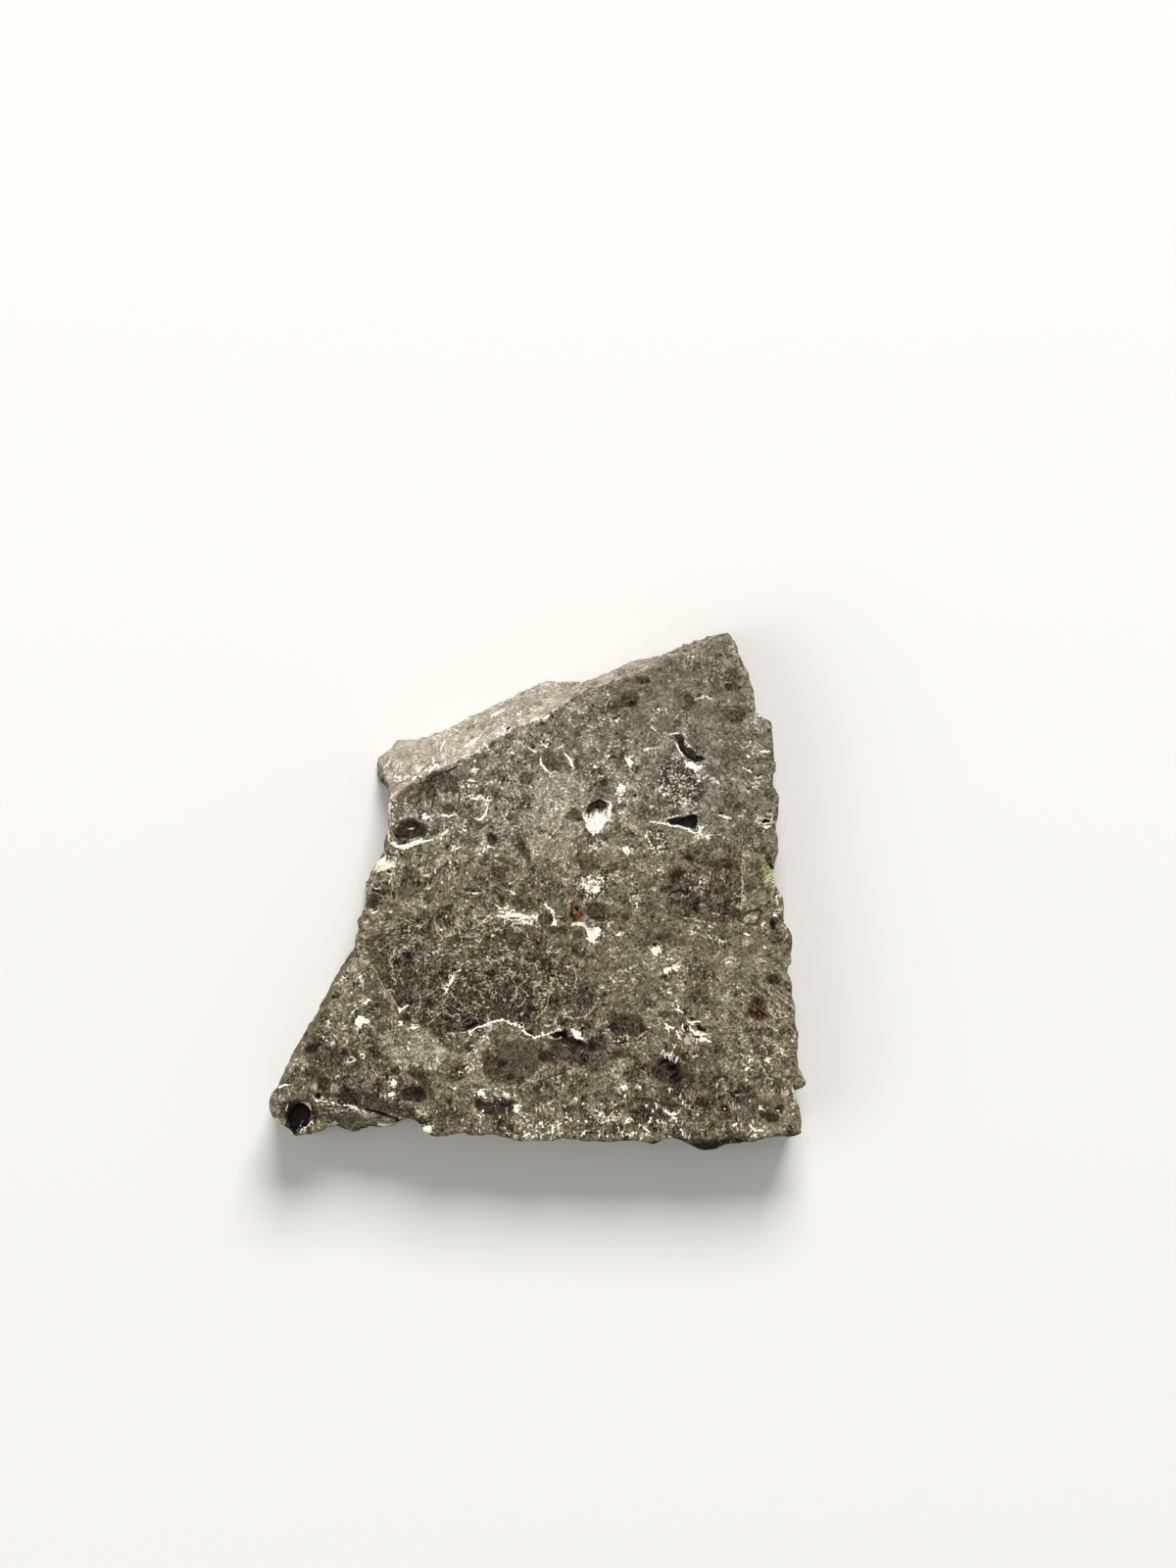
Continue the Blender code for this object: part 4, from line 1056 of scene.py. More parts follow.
@dataclass(frozen=True)
class BrecciaFinish:
    """The breccia: a grainy dark matrix with clasts, white grains, open holes and rust, with painted
    light and shade: dark holes, hollows and cracks, highlights on the pits' rims, and glints among the
    flecks.
    """

    stops: tuple[tuple[float, Colour], ...] = (
        (0.0, srgb(6, 4, 3)),
        (0.1, srgb(38, 33, 22)),
        (0.2, srgb(59, 53, 38)),
        (0.32, srgb(84, 76, 58)),
        (0.44, srgb(110, 102, 82)),
        (0.58, srgb(139, 130, 109)),
        (0.74, srgb(178, 168, 147)),
        (0.88, srgb(216, 207, 188)),
        (1.0, srgb(248, 242, 228)),
    )
    middle: Colour = srgb(112, 105, 89)
    green: Colour = srgb(102, 108, 88)
    purple: Colour = srgb(113, 101, 89)
    rust: Colour = srgb(108, 71, 40)
    stain: Colour = srgb(120, 118, 76)
    cool: Colour = srgb(111, 105, 92)
    matrix_tone: float = 0.395
    rust_dark: float = 0.27
    hollow_shade_tone: float = 0.12
    rim_highlight_tone: float = 0.82
    bright_line_tone: float = 0.97
    specular: float = 0.13
    rough: float = 0.6
    relief: float = 0.03
    fine_size: float = 0.07
    curl_size: float = 0.16
    medium_size: float = 0.4
    coarse_size: float = 1.05
    thread_size: float = 0.12
    clod_size: float = 0.72
    grain_size: float = 0.3
    speck_size: float = 0.12
    felt: tuple[Fibres, ...] = (Fibres(-24.0, 7.0), Fibres(-80.0, 8.0), Fibres(42.0, 9.0))
    scratches: Fibres = Fibres(40.0, 10.0, 0.6, (0.6, 0.045, 0.1))

    def build(self) -> bpy.types.Material:
        """Makes the breccia's material.

        Returns:
            The material.
        """
        bench = Bench("lunar_breccia")
        where = bench.where
        fleck = bench.marks("fleck")
        broken = bench.marks("broken")
        mottle = bench.marks("mottle")
        fine = bench.clouds(where, self.fine_size, 1.0, 2.0) - 0.5
        curl = bench.clouds(where, self.curl_size, 4.0, 2.0, 1.0) - 0.5
        medium = bench.clouds(where, self.medium_size, 2.0, 2.0, 0.5) - 0.5
        coarse = bench.clouds(where, self.coarse_size, 3.0, 1.0) - 0.5
        ragged = curl + fine * 0.5

        large = (bench.marks("large_edge") + ragged * 0.16).ease(-0.05, 0.05)
        small = (bench.marks("small_edge") + ragged * 0.13).ease(-0.03, 0.03)
        broad = (medium * 0.56 + coarse * 0.17) * (1.0 - large.math("MAXIMUM", large, small) * 0.5)
        calm = fleck.math("MINIMUM", fleck, 1.0)
        tone = self.matrix_tone + (fine * 0.66 + curl * 0.52 + broad) * (0.3 + calm * 0.7)
        tone = tone + self._fibres(bench, medium, coarse, fleck)
        tone = tone + self._grains(bench, ragged, fleck) * (0.3 + calm * 0.7)
        tone = tone + large * (1.0 - small) * bench.marks("large_tone") + small * bench.marks("small_tone")
        # The shade attribute holds the soft patches' tone and the painted light and shade of the walls and
        # the rim.
        tone = tone + bench.marks("shade")
        mesh = bench.clouds(where, self.thread_size, 14.0, 3.0, 1.6) - 0.5
        threads = (mesh + fine * 0.5 + medium * 0.35 + mottle * 0.03).ease(0.03, 0.14) * mottle.ease(0.0, 0.8)
        tone = tone + threads * 0.5 - mottle * 0.19

        tone = self._white(bench, tone, fine, curl)
        tone = self._openings(bench, tone, fine, curl, medium)
        rust = (bench.marks("rust") + ragged * 1.3 + medium * 1.2).ease(0.35, 0.95)
        tone = tone - rust * self.rust_dark
        colour = bench.ramp(tone, self.stops)
        hue = bench.marks("hue") + coarse * 1.8 + medium * 0.6
        colour = self._tinted(colour, hue.ease(0.0, 1.0) * 0.45, self.green)
        colour = self._tinted(colour, hue.ease(0.0, -1.0) * 0.6, self.purple)
        colour = self._tinted(colour, rust * 0.95, self.rust)
        colour = self._tinted(colour, bench.marks("cool"), self.cool)
        colour = self._tinted(colour, bench.marks("stain") * (0.6 + curl), self.stain)

        roughness = self.rough - curl * 0.3 + broken * 0.15
        height = fine * 0.6 + curl * 0.6 + 0.5
        sockets = {"Base Color": colour, "Roughness": roughness, "Specular IOR Level": self.specular}
        bench.finish(sockets, height, self.relief)
        return bench.material

    def _fibres(self, bench: Bench, medium: Signal, coarse: Signal, fleck: Signal) -> Signal:
        """Makes the felt of short bright and dark fibres, which lie in three directions. The bright fibres
        are partly painted glints.

        Args:
            bench: The material's nodes.
            medium: Noise that chooses the direction, from -0.5 to 0.5.
            coarse: Broader noise that chooses the direction.
            fleck: How strong the bright fibres are, which are partly painted glints.

        Returns:
            What the fibres add to the tone.
        """
        streak = bench.marks("streak")
        scratch = bench.marks("scratch")
        plain = 1.0 - streak * 0.5
        shares = (
            coarse.ease(-0.08, 0.06) * plain,
            coarse.ease(0.07, -0.07) * plain + streak * 0.55,
            medium.ease(-0.08, 0.1) * plain + scratch * 0.5,
        )
        parts = []
        for fibres, share in zip(self.felt, shares):
            pattern = fibres.build(bench)
            # The bright fibres are partly painted glints.
            bright = pattern.ease(0.58, 0.7) * (0.06 + fleck * 0.24)
            parts.append((bright - pattern.ease(0.44, 0.32) * 0.14) * share)
        long = self.scratches.build(bench)
        parts.append((long.ease(0.55, 0.68) * 0.24 - long.ease(0.44, 0.34) * 0.1) * scratch)
        return parts[0] + parts[1] + parts[2] + parts[3]

    def _grains(self, bench: Bench, ragged: Signal, fleck: Signal) -> Signal:
        """Makes the small angular grains and the bright specks between them.

        Args:
            bench: The material's nodes.
            ragged: Noise that roughens their edges.
            fleck: How strong the specks are.

        Returns:
            What the grains add to the tone.
        """
        gap, own = bench.grains(self.clod_size, 12.0)
        clod = (gap + ragged * 0.55).ease(0.5, 0.42)
        clods = clod * (own.ease(0.7, 0.9) * 0.06 - own.ease(0.42, 0.2) * 0.08)
        gap, own = bench.grains(self.grain_size, 5.0)
        grain = (gap + ragged * 0.6).ease(0.46, 0.36)
        grains = clods + grain * (own.ease(0.86, 0.98) * 0.16 - own.ease(0.3, 0.1) * 0.17)
        gap, own = bench.grains(self.speck_size, 6.0)
        speck = (gap + ragged * 0.5).ease(0.4, 0.25)
        return grains + speck * (own.ease(0.85, 0.97) * fleck * 0.36 - own.ease(0.2, 0.08) * 0.2)

    def _white(self, bench: Bench, tone: Signal, fine: Signal, curl: Signal) -> Signal:
        """Lays the white grains, their scattered crumbs, the white veins, the painted rim highlights and the
        painted glints over the tone.

        Args:
            bench: The material's nodes.
            tone: The tone below.
            fine: Fine noise, from -0.5 to 0.5.
            curl: Coarser noise, from -0.5 to 0.5.

        Returns:
            The tone with the white.
        """
        edge = bench.marks("white_edge")
        crumbs = edge.ease(-0.22, -0.01) * (fine * 0.8 + curl).ease(0.05, 0.12)
        tone = tone + crumbs * 0.26
        # Painted highlight in part: some of the white areas lie on the lit lower rims of holes.
        core = (edge + curl * 0.14 + fine * 0.1).ease(-0.014, 0.014)
        inside = 1.0 + fine * 0.8 + curl * 0.5
        tone = tone + core * (inside - tone)
        vein = bench.marks("vein_half") - abs(bench.marks("vein_side")) + fine * 0.07 + curl * 0.04
        vein = vein.ease(-0.01, 0.01) * bench.marks("vein_near") * bench.marks("vein_glow")
        return tone + vein * (self.bright_line_tone + fine * 0.9 - tone)

    def _openings(self, bench: Bench, tone: Signal, fine: Signal, curl: Signal, medium: Signal) -> Signal:
        """Paints shade into the colour: dark hollow floors, black holes and dark cracks, with painted
        highlights on the pits' lower rims.

        Args:
            bench: The material's nodes.
            tone: The tone below.
            fine: Fine noise, from -0.5 to 0.5.
            curl: Coarser noise, from -0.5 to 0.5.
            medium: Still coarser noise, from -0.5 to 0.5.

        Returns:
            The tone with the openings.
        """
        # Painted shade: the hollows' floors are darkened towards a dark brown.
        hollow = (bench.marks("hollow_edge") + curl * 0.18).ease(-0.03, 0.03)
        tone = tone + hollow * (self.hollow_shade_tone + fine * 0.5 + curl * 0.4 + medium * 0.2 - tone)
        edge = bench.marks("hole_edge") + curl * 0.12 + fine * 0.08
        # Painted highlight: the pits' lower rims, which face the key light, are lightened.
        rim = edge.ease(-0.075, -0.04) * bench.marks("hole_low")
        tone = tone + rim * (self.rim_highlight_tone + fine * 1.1 - tone)
        # Painted shade: the holes are black inside.
        tone = tone * (1.0 - edge.ease(-0.016, 0.014))
        # Painted shade: the cracks are darkened; the thin dark lines darken at half their strength.
        crack = bench.marks("crack_half") - abs(bench.marks("crack_side")) + curl * 0.1
        return tone * (1.0 - crack.ease(-0.008, 0.012) * bench.marks("crack_near"))

    def _tinted(self, colour: Signal, share: Signal, tint: Colour) -> Signal:
        """Shifts a colour towards the tint that its middle tone becomes at a full share."""
        factor = tuple(value / base for value, base in zip(tint, self.middle))
        return colour.bench.mix(share, colour, colour.bench.mix(1.0, colour, factor, "MULTIPLY"))


def corner_rows(mesh: bpy.types.Mesh, name: str) -> np.ndarray:
    """Reads the places or the normals of a mesh's corners.

    Args:
        mesh: The mesh.
        name: "co" for the places, "normal" for the normals.

    Returns:
        A row of x, y and z for each corner.
    """
    rows = np.empty(len(mesh.vertices) * 3)
    mesh.vertices.foreach_get(name, rows)
    return rows.reshape(-1, 3)


def move_corners(mesh: bpy.types.Mesh, places: np.ndarray) -> None:
    """Moves a mesh's corners to new places."""
    mesh.vertices.foreach_set("co", places.ravel())
    mesh.update()


@dataclass
class Corners:
    """The corners of the stone's mesh, in millimetres, and which part of the stone each is on."""

    places: np.ndarray
    normals: np.ndarray
    top: np.ndarray = field(init=False)
    wall: np.ndarray = field(init=False)
    inner: np.ndarray = field(init=False)
    faced: np.ndarray = field(init=False)
    seen: np.ndarray = field(init=False)

    def __post_init__(self) -> None:
        """Works out how much of each part every corner is, from 0 to 1."""
        up = self.normals[:, 2]
        height = self.places[:, 2]
        self.top = smooth_step(up, 0.75, 0.95) * smooth_step(height, 2.2, 2.42)
        back = smooth_step(up, -0.75, -0.95) * smooth_step(height, 0.2, 0.05)
        self.wall = 1.0 - np.maximum(self.top, back)
        self.inner = smooth_step(height, 0.3, 0.5)
        self.faced = np.maximum(self.top, smooth_step(up, 0.0, 0.25) * smooth_step(height, 1.0, 1.7))
        self.seen = np.maximum(self.top, smooth_step(up, 0.02, 0.1) * smooth_step(height, 0.2, 0.4))

    def kept(self, edge: np.ndarray, part: np.ndarray) -> np.ndarray:
        """Keeps a mark's distances on one part of the stone. Elsewhere they are about -FAR."""
        return edge * part + np.where(part > 0.5, 0.0, -FAR)


@dataclass
class Slice:
    """The stone itself. Sizes are in millimetres."""

    node: str = "stone"
    voxel: float = 0.11
    thickness: float = 2.5
    seed: int = 11
    push_reach: float = 0.5
    # The plane facet on the left side: x, y, reach and height there, and its slope.
    shoulder: tuple[float, float, float, float] = (-4.58, 0.8, 0.62, 1.98)
    shoulder_slope: float = 0.75
    # Vugs whose floors are raised: x, y, reach and how much of their depth is filled.
    shallow: tuple[tuple[float, float, float, float], ...] = (
        (-3.62, 1.75, 0.75, 0.92),
        (-6.88, -6.5, 0.85, 0.86),
    )
    wall_lump: float = 0.036
    wall_chip: float = 0.042
    lump_size: float = 0.5
    chip_size: float = 0.3
    face_relief: float = 0.012
    face_grain: float = 0.22
    hole_depth: float = 0.14
    groove_depth: float = 0.008
    # Holes no wider than this are pits with a painted highlight on the lower rim, which is this far off their
    # middle.
    pit_most: float = 0.1
    rim_shift: float = 0.04
    crumbs: int = 115
    small_pits: int = 45
    bottom_glints: int = 120
    pale_strokes: int = 620
    mesh_values: dict[str, np.ndarray] = field(default_factory=dict)

    def build(self) -> bpy.types.Object:
        """Makes the stone's finished object.

        Returns:
            The object.
        """
        stone = self._remeshed()
        self._refine(stone.data)
        self._shape(stone.data)
        stone.data.transform(Matrix.Scale(MM, 4))
        stone.data.shade_smooth()
        for name, values in self.mesh_values.items():
            layer = stone.data.attributes.new(name, "FLOAT", "POINT")
            layer.data.foreach_set("value", values.astype(np.float32))
        stone.data.materials.append(BrecciaFinish().build())
        return stone

    def _remeshed(self) -> bpy.types.Object:
        """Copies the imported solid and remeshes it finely, in millimetres.

        Returns:
            A new object at the origin.
        """
        bm = bmesh.new()
        bm.from_mesh(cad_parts[self.node].data)
        bmesh.ops.remove_doubles(bm, verts=bm.verts, dist=1.0e-7)
        bmesh.ops.scale(bm, vec=(1.0 / MM, 1.0 / MM, 1.0 / MM), verts=bm.verts)
        rough = bpy.data.meshes.new("stone_rough")
        bm.to_mesh(rough)
        bm.free()
        maker = placed("stone_rough", rough)
        remesh = maker.modifiers.new("remesh", "REMESH")
        remesh.mode = "VOXEL"
        remesh.voxel_size = self.voxel
        graph = bpy.context.evaluated_depsgraph_get()
        mesh = bpy.data.meshes.new_from_object(maker.evaluated_get(graph))
        bpy.data.objects.remove(maker)
        mesh.name = "stone_slice"
        return placed("stone_slice", mesh)

    def _refine(self, mesh: bpy.types.Mesh) -> None:
        """Divides the faces that are seen from above.

        Args:
            mesh: The mesh, in millimetres.
        """
        bm = bmesh.new()
        bm.from_mesh(mesh)
        bm.normal_update()
        edges = [edge for edge in bm.edges if any(face.normal.z > 0.35 for face in edge.link_faces)]
        bmesh.ops.subdivide_edges(bm, edges=edges, cuts=1, use_grid_fill=True)
        bm.to_mesh(mesh)
        bm.free()

    def _shape(self, mesh: bpy.types.Mesh) -> None:
        """Breaks the walls, pits the faces and records the marks on the mesh.

        Args:
            mesh: The mesh, in millimetres.
        """
        noise.seed_set(self.seed)
        places = corner_rows(mesh, "co")
        self._push(places)
        move_corners(mesh, places)
        corners = Corners(places, corner_rows(mesh, "normal"))
        look = TopMap(*self._warped(places))
        large = look.clasts(LARGE_CLASTS)
        small = look.clasts(self._with_scattered(SMALL_CLASTS))
        self._record_veins(look, corners)
        hued = self._record_whites(look, corners)
        openings = np.maximum(self._record_holes(look, corners), self._record_cracks(look, corners))
        bowls = np.minimum(self.hole_depth, np.maximum(0.0, openings + 0.02) * 2.0)
        borders = np.exp(-((small["edge"] / 0.035) ** 2)) + np.exp(-((large["edge"] / 0.04) ** 2))
        drop = bowls + borders * self.groove_depth
        corners.places = places + corners.normals * self._relief(corners)[:, None]
        corners.places[:, 2] = np.maximum(corners.places[:, 2] - drop * corners.top, 0.0)
        move_corners(mesh, corners.places)
        self._record_tones(corners, large, small, hued, smooth_step(look.deepest(RUST), -0.2, 0.14))

    def _push(self, places: np.ndarray) -> None:
        """Moves the outline a little, flattens the facet and raises the floors of two vugs.

        Args:
            places: The corners, which are changed.
        """
        for x, y, over, up in PUSHES:
            share = np.exp(-((places[:, 0] - x) ** 2 + (places[:, 1] - y) ** 2) / self.push_reach**2)
            places[:, 0] += over * share
            places[:, 1] += up * share
        x, y, reach, height = self.shoulder
        share = smooth_step(np.hypot(places[:, 0] - x, places[:, 1] - y), reach, reach - 0.25)
        share *= smooth_step(places[:, 2], 0.15, 0.45)
        plane = height + self.shoulder_slope * (places[:, 0] - x)
        places[:, 2] += share * np.maximum(0.0, plane - places[:, 2])
        for x, y, reach, fill in self.shallow:
            share = smooth_step(np.hypot((places[:, 0] - x) * 0.8, places[:, 1] - y), reach, reach - 0.2)
            share *= smooth_step(places[:, 2], 0.5, 0.6)
            places[:, 2] += share * fill * np.maximum(0.0, self.thickness - places[:, 2])

    def _record_veins(self, look: TopMap, corners: Corners) -> None:
        """Records the white veins, the painted highlights along the holes' rims, the painted glints along the
        lower edge, the light streaks and the fainter strokes.

        Args:
            look: The marks.
            corners: The mesh's corners.
        """
        # Among these lines, those along the holes' lower rims are painted highlights, and the flecks along
        # the lower edge are painted glints.
        veins = [mark for mark in WHITES_AND_RIM_HIGHLIGHTS if isinstance(mark, Line)] + list(STREAKS)
        veins += self._scattered_glints(self.bottom_glints, 47)
        strokes = list(PALE_VEINS) + self._scattered_strokes(self.pale_strokes, 45)
        side, half, near = look.lines(veins + strokes)
        glow = np.maximum(smooth_step(look.lines(veins)[2], 0.0, 0.3), 0.5)
        self.mesh_values |= {
            "vein_side": side,
            "vein_half": half,
            "vein_near": near * corners.seen,
            "vein_glow": glow,
        }

    def _record_whites(self, look: TopMap, corners: Corners) -> np.ndarray:
        """Records the white grains, the painted highlights on the holes' rims, and the crumbs between them.

        Args:
            look: The marks.
            corners: The mesh's corners.

        Returns:
            How much of its hue each corner keeps, which is nothing on a white grain or a painted rim
            highlight.
        """
        whites = [mark for mark in WHITES_AND_RIM_HIGHLIGHTS if not isinstance(mark, Line)]
        edge = corners.kept(look.deepest(whites), corners.seen)
        crumbs = look.deepest(self._scattered_ovals(self.crumbs, 0.022, 0.05, 41))
        self.mesh_values["white_edge"] = np.maximum(edge, corners.kept(crumbs, corners.faced))
        return 1.0 - smooth_step(edge, -0.03, 0.02)

    def _record_holes(self, look: TopMap, corners: Corners) -> np.ndarray:
        """Records where the open holes and hollows are painted dark as shade, and where the pits' lower rims
        get a painted highlight.

        Args:
            look: The marks.
            corners: The mesh's corners.

        Returns:
            How far inside the nearest pit each corner is.
        """
        holes = [hole for hole in HOLES if not isinstance(hole, Line)]
        ovals = [hole for hole in holes if isinstance(hole, Oval)]
        pits = [oval for oval in ovals if max(oval.across, oval.along) <= self.pit_most]
        pits += self._scattered_ovals(self.small_pits, 0.02, 0.045, 43)
        edge = np.minimum(look.deepest(holes + pits), 0.015 - look.deepest(STREAKS))
        above = TopMap(look.x, look.y + self.rim_shift).deepest(pits)
        below = TopMap(look.x, look.y - self.rim_shift).deepest(pits)
        self.mesh_values |= {
            "hole_edge": corners.kept(edge, corners.inner),
            "hole_low": smooth_step((above - below) / (2.0 * self.rim_shift), 0.05, 0.75),
            "hollow_edge": corners.kept(look.deepest(HOLLOWS), corners.inner),
        }
        return look.deepest(pits)

    def _record_cracks(self, look: TopMap, corners: Corners) -> np.ndarray:
        """Records the cracks, which are painted dark as shade, and the thin dark lines.

        Args:
            look: The marks.
            corners: The mesh's corners.

        Returns:
            How far inside the nearest of them each corner is.
        """
        cracks = [hole for hole in HOLES if isinstance(hole, Line)]
        side, half, near = look.lines(cracks + list(DARK_LINES))
        depth = 0.5 + 0.5 * smooth_step(look.lines(cracks)[2], 0.0, 0.3)
        self.mesh_values |= {
            "crack_side": side,
            "crack_half": half,
            "crack_near": near * depth * corners.inner,
        }
        return (half - np.abs(side)) * near - 0.02

    def _record_tones(
        self,
        corners: Corners,
        large: dict[str, np.ndarray],
        small: dict[str, np.ndarray],
        hued: np.ndarray,
        rust: np.ndarray,
    ) -> None:
        """Records the clasts' looks, the soft patches, the rust and the stains, and the painted light and
        shade of the walls and the rim.

        Args:
            corners: The mesh's corners.
            large: The large clasts, as TopMap.clasts gives them.
            small: The small clasts.
            hued: How much of its hue each corner keeps.
            rust: How rusty each corner is.
        """
        x, y, z = corners.places.T
        up = corners.normals[:, 2]
        top, wall, faced = corners.top, corners.wall, corners.faced
        large_in = smooth_step(large["edge"], -0.04, 0.04)
        small_in = smooth_step(small["edge"], -0.03, 0.03)
        fleck = large["fleck"] * large_in + (1.0 - large_in)
        fleck = small["fleck"] * small_in + fleck * (1.0 - small_in)
        shade = np.zeros(len(x))
        for patch in SOFT_PATCHES:
            reach = ((x - patch.x) / patch.across) ** 2 + ((y - patch.y) / patch.along) ** 2
            shade += patch.tone * np.exp(-reach) * top
            fleck += patch.fleck * np.exp(-reach) * top * (1.0 - small_in * 0.8)
        # Painted light: walls on the upper left that lean towards +Y, where the key light stands, are
        # lightened by 0.26; their more purple hue and weaker flecks are their own.
        lit_band = wall * smooth_step(corners.normals[:, 1], -0.1, 0.35) * smooth_step(x, 6.5, 0.5)
        lit_band *= smooth_step(y, 1.4, 2.4)
        # Painted shade: the lower walls on the right, which face away from the key light, are darkened by
        # 0.2.
        shaded_foot = wall * smooth_step(y, -6.8, -7.2) * smooth_step(x, 2.6, 3.6)
        # Painted highlight: the rounded rim where the top face turns down is lightened by 0.06.
        rim = smooth_step(up, 0.45, 0.7) * smooth_step(up, 0.985, 0.88)
        shade += lit_band * 0.26 - shaded_foot * 0.2 + rim * smooth_step(z, 1.8, 2.3) * 0.06
        fleck -= lit_band * 0.45
        low = smooth_step(y, -4.4, -6.2) * faced
        hue = (large["hue"] * large_in + small["hue"] * small_in) * faced - lit_band * 0.5
        mottle = large["mottle"] * large_in * (1.0 - small_in) + small["mottle"] * small_in
        stains = [np.exp(-(((x - over) ** 2 + (y - along) ** 2) / reach**2)) for over, along, reach in STAINS]
        self.mesh_values |= {
            "large_edge": corners.kept(large["edge"], faced),
            "large_tone": large["tone"],
            "small_edge": corners.kept(small["edge"], faced),
            "small_tone": small["tone"],
            "hue": hue * hued,
            "mottle": mottle * faced,
            "fleck": np.clip(fleck, 0.0, 2.0),
            "streak": low * (1.0 - small_in * 0.7),
            "scratch": smooth_step(x, 5.2, 6.2) * smooth_step(np.abs(y + 3.4), 1.6, 0.6) * top,
            "rust": rust * faced,
            "shade": shade,
            "cool": smooth_step(y, 0.0, 3.5),
            "stain": sum(stains),
            "broken": wall,
        }

    @staticmethod
    def _warped(places: np.ndarray) -> tuple[np.ndarray, np.ndarray]:
        """Shifts the places at which marks are read, so that no mark keeps a drawn outline.

        Args:
            places: The corners, in millimetres.

        Returns:
            The shifted x and y.
        """
        x = places[:, 0].copy()
        y = places[:, 1].copy()
        for index in np.flatnonzero(places[:, 2] > 0.4):
            point = Vector(places[index])
            broad = noise.noise_vector(point / 0.38)
            near = noise.noise_vector(point / 0.13)
            x[index] += broad.x * 0.055 + near.x * 0.03
            y[index] += broad.y * 0.055 + near.y * 0.03
        return x, y

    def _relief(self, corners: Corners) -> np.ndarray:
        """Works out how far each corner of the mesh moves along its normal.

        Args:
            corners: The mesh's corners.

        Returns:
            The moves, in millimetres.
        """
        moves = np.zeros(len(corners.places))
        for index, (place, wall, top) in enumerate(zip(corners.places, corners.wall, corners.top)):
            point = Vector(place)
            move = 0.0
            if wall > 0.01:
                lump = noise.fractal(point / self.lump_size, 0.8, 2.2, 4)
                middles = noise.voronoi(point / self.chip_size)[1]
                tilt = noise.cell_vector(middles[0] * 9.0) - Vector((0.5, 0.5, 0.5))
                chip = tilt.dot(point / self.chip_size - middles[0])
                chip *= 1.0 - 0.6 * min(1.0, max(0.0, (place[2] - 1.7) / 0.6))
                move = self.wall_lump * lump + self.wall_chip * chip - 0.01
                move *= wall
            if top > 0.01:
                move += self.face_relief * top * noise.fractal(point / self.face_grain, 0.7, 2.2, 3)
            moves[index] = move
        return np.clip(moves, -0.25, 0.1)

    def _scattered_strokes(self, count: int, seed: int) -> list[Line]:
        """Scatters short curved white strokes over the top face.

        Args:
            count: How many.
            seed: What sets this scatter apart.

        Returns:
            The strokes.
        """
        draw = np.random.RandomState(self.seed + seed)
        strokes = []
        while len(strokes) < count:
            x = draw.uniform(-7.6, 7.6)
            y = draw.uniform(-7.3, 7.0)
            if x > 2.0 and y > 0.0 and draw.uniform() < 0.6:
                continue
            if len(strokes) % 4 == 0:
                x = draw.uniform(-4.3, 0.2)
                y = draw.uniform(-3.8, -0.6)
            turn = draw.normal(0.5, 0.9) if y > -4.6 else draw.normal(1.4, 0.5)
            bend = draw.uniform(-1.3, 1.3)
            length = draw.uniform(0.05, 0.17)
            points = bent_path((x, y), length, [turn + bend * step for step in range(3)])
            strokes.append(Line(draw.uniform(0.02, 0.045), points))
        return strokes

    def _scattered_glints(self, count: int, seed: int) -> list[Line]:
        """Scatters short upright painted glints along the lower edge.

        Args:
            count: How many.
            seed: What sets this scatter apart.

        Returns:
            The flecks.
        """
        draw = np.random.RandomState(self.seed + seed)
        flecks = []
        for _ in range(count):
            x = draw.uniform(-0.1, 4.3) if draw.uniform() < 0.65 else draw.uniform(-3.4, 6.8)
            y = -7.2 + 1.1 * draw.uniform() ** 1.8
            turn = draw.normal(1.5, 0.35)
            length = draw.uniform(0.03, 0.09)
            points = bent_path((x, y), length, [turn, turn + draw.normal(0.0, 0.4)])
            flecks.append(Line(draw.uniform(0.015, 0.045), points))
        return flecks

    def _scattered_ovals(self, count: int, least: float, most: float, seed: int) -> list[Shape]:
        """Scatters small ovals over the top face.

        Args:
            count: How many.
            least: The smallest radius.
            most: The largest radius.
            seed: What sets this scatter apart.

        Returns:
            The ovals.
        """
        draw = np.random.RandomState(self.seed + seed)
        ovals: list[Shape] = []
        for _ in range(count):
            x = draw.uniform(-7.6, 7.6)
            y = draw.uniform(-7.3, 7.4)
            across = least + (most - least) * draw.uniform() ** 2
            along = across * draw.uniform(0.5, 1.0)
            ovals.append(Oval(x, y, across, along, draw.uniform(0.0, 180.0)))
        return ovals

    def _with_scattered(self, table: dict[Clast, tuple[Shape, ...]]) -> dict[Clast, tuple[Shape, ...]]:
        """Adds small scattered clasts to a table, where none is listed.

        Args:
            table: The shapes of each kind of clast.

        Returns:
            A new table.
        """
        full = dict(table)
        by_hand = [shape for shapes in (*table.values(), *LARGE_CLASTS.values()) for shape in shapes]
        for seed, (clast, (count, least, most)) in enumerate(SCATTERED_CLASTS.items()):
            ovals = self._scattered_ovals(count, least, most, seed)
            middles = TopMap(np.array([oval.x for oval in ovals]), np.array([oval.y for oval in ovals]))
            depths = middles.deepest(by_hand)
            free = [oval for oval, depth in zip(ovals, depths) if depth < -0.6 * oval.across]
            full[clast] = tuple(table.get(clast, ())) + tuple(free)
        return full


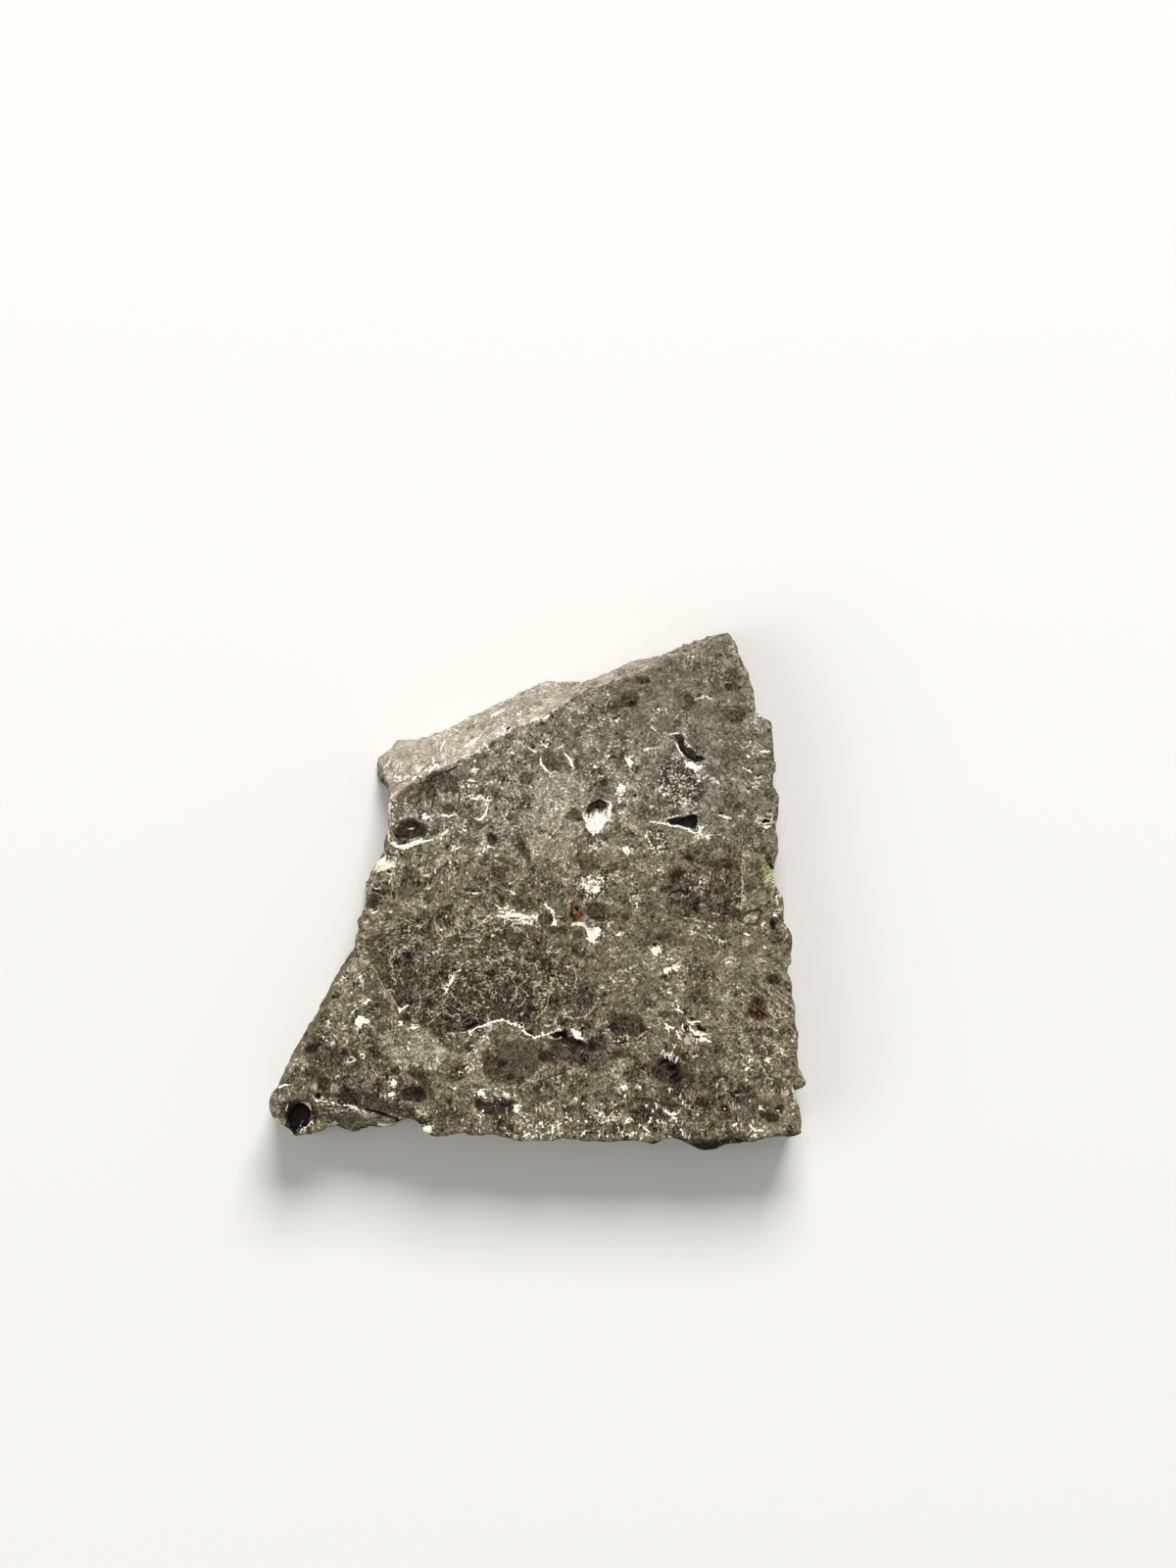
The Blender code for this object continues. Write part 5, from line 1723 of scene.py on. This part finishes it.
@dataclass
class Studio:
    """The floor, the lights and the camera. Lengths are in metres."""

    floor_reach: float = 0.6
    floor_gap: float = 0.00001
    floor_colour: Colour = srgb(226, 224, 220)
    sky_colour: Colour = (1.0, 0.99, 0.97, 1.0)
    sky_strength: float = 0.35
    camera_middle: Point = (0.00148, 0.00312)
    camera_height: float = 0.1525
    frame_height: float = 0.0456
    face_height: float = 0.0025
    sensor: float = 36.0

    def build(self) -> None:
        """Makes the floor, the lights and the camera."""
        self._floor()
        self._light("key_light", (0.06, 0.36, 0.33), 0.22, 2.85)
        self._light("side_light", (-0.35, -0.1, 0.35), 0.4, 0.7)
        self._sky()
        self._camera()

    def _floor(self) -> None:
        """Makes the pale floor."""
        bm = bmesh.new()
        bmesh.ops.create_grid(bm, x_segments=2, y_segments=2, size=self.floor_reach)
        bmesh.ops.translate(bm, vec=(0.0, 0.0, -self.floor_gap), verts=bm.verts)
        mesh = bpy.data.meshes.new("floor")
        bm.to_mesh(mesh)
        bm.free()
        bench = Bench("pale_floor")
        bench.finish({"Base Color": self.floor_colour, "Roughness": 0.7, "Specular IOR Level": 0.3})
        mesh.materials.append(bench.material)
        placed("floor", mesh)

    @staticmethod
    def _light(name: str, place: Triple, size: float, power: float) -> None:
        """Makes one soft light that faces the stone.

        Args:
            name: Its name.
            place: Where it is.
            size: The side of its square.
            power: Its power, in watts.
        """
        lamp = bpy.data.lights.new(name, "AREA")
        lamp.shape = "SQUARE"
        lamp.size = size
        lamp.energy = power
        holder = placed(name, lamp)
        holder.location = place
        holder.rotation_euler = Vector(place).to_track_quat("Z", "Y").to_euler()

    def _sky(self) -> None:
        """Makes an even, dim surround."""
        world = bpy.data.worlds.new("surround")
        world.use_nodes = True
        sky = world.node_tree.nodes["Background"]
        sky.inputs["Color"].default_value = self.sky_colour
        sky.inputs["Strength"].default_value = self.sky_strength
        bpy.context.scene.world = world
        bpy.context.scene.view_settings.view_transform = "Standard"

    def _camera(self) -> None:
        """Makes the camera, straight above the slice."""
        lens = bpy.data.cameras.new("camera")
        lens.sensor_width = self.sensor
        lens.lens = self.sensor * (self.camera_height - self.face_height) / self.frame_height
        lens.clip_start = 0.005
        lens.clip_end = 5.0
        camera = placed("camera", lens)
        camera.location = (*self.camera_middle, self.camera_height)
        bpy.context.scene.camera = camera


def plain(box: tuple) -> list[list[float]]:
    """A box as plain lists of numbers."""
    return [[float(value) for value in corner] for corner in box]


def main() -> None:
    """Builds the stone and its studio."""
    logging.basicConfig(level=logging.INFO)
    stone = Slice().build()
    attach(stone, "root")
    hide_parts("stone")
    triangles = sum(len(face.vertices) - 2 for face in stone.data.polygons)
    LOG.info("%s has %d triangles", stone.name, triangles)
    Studio().build()
    LOG.info("studio is built")


if __name__ == "__main__":
    main()
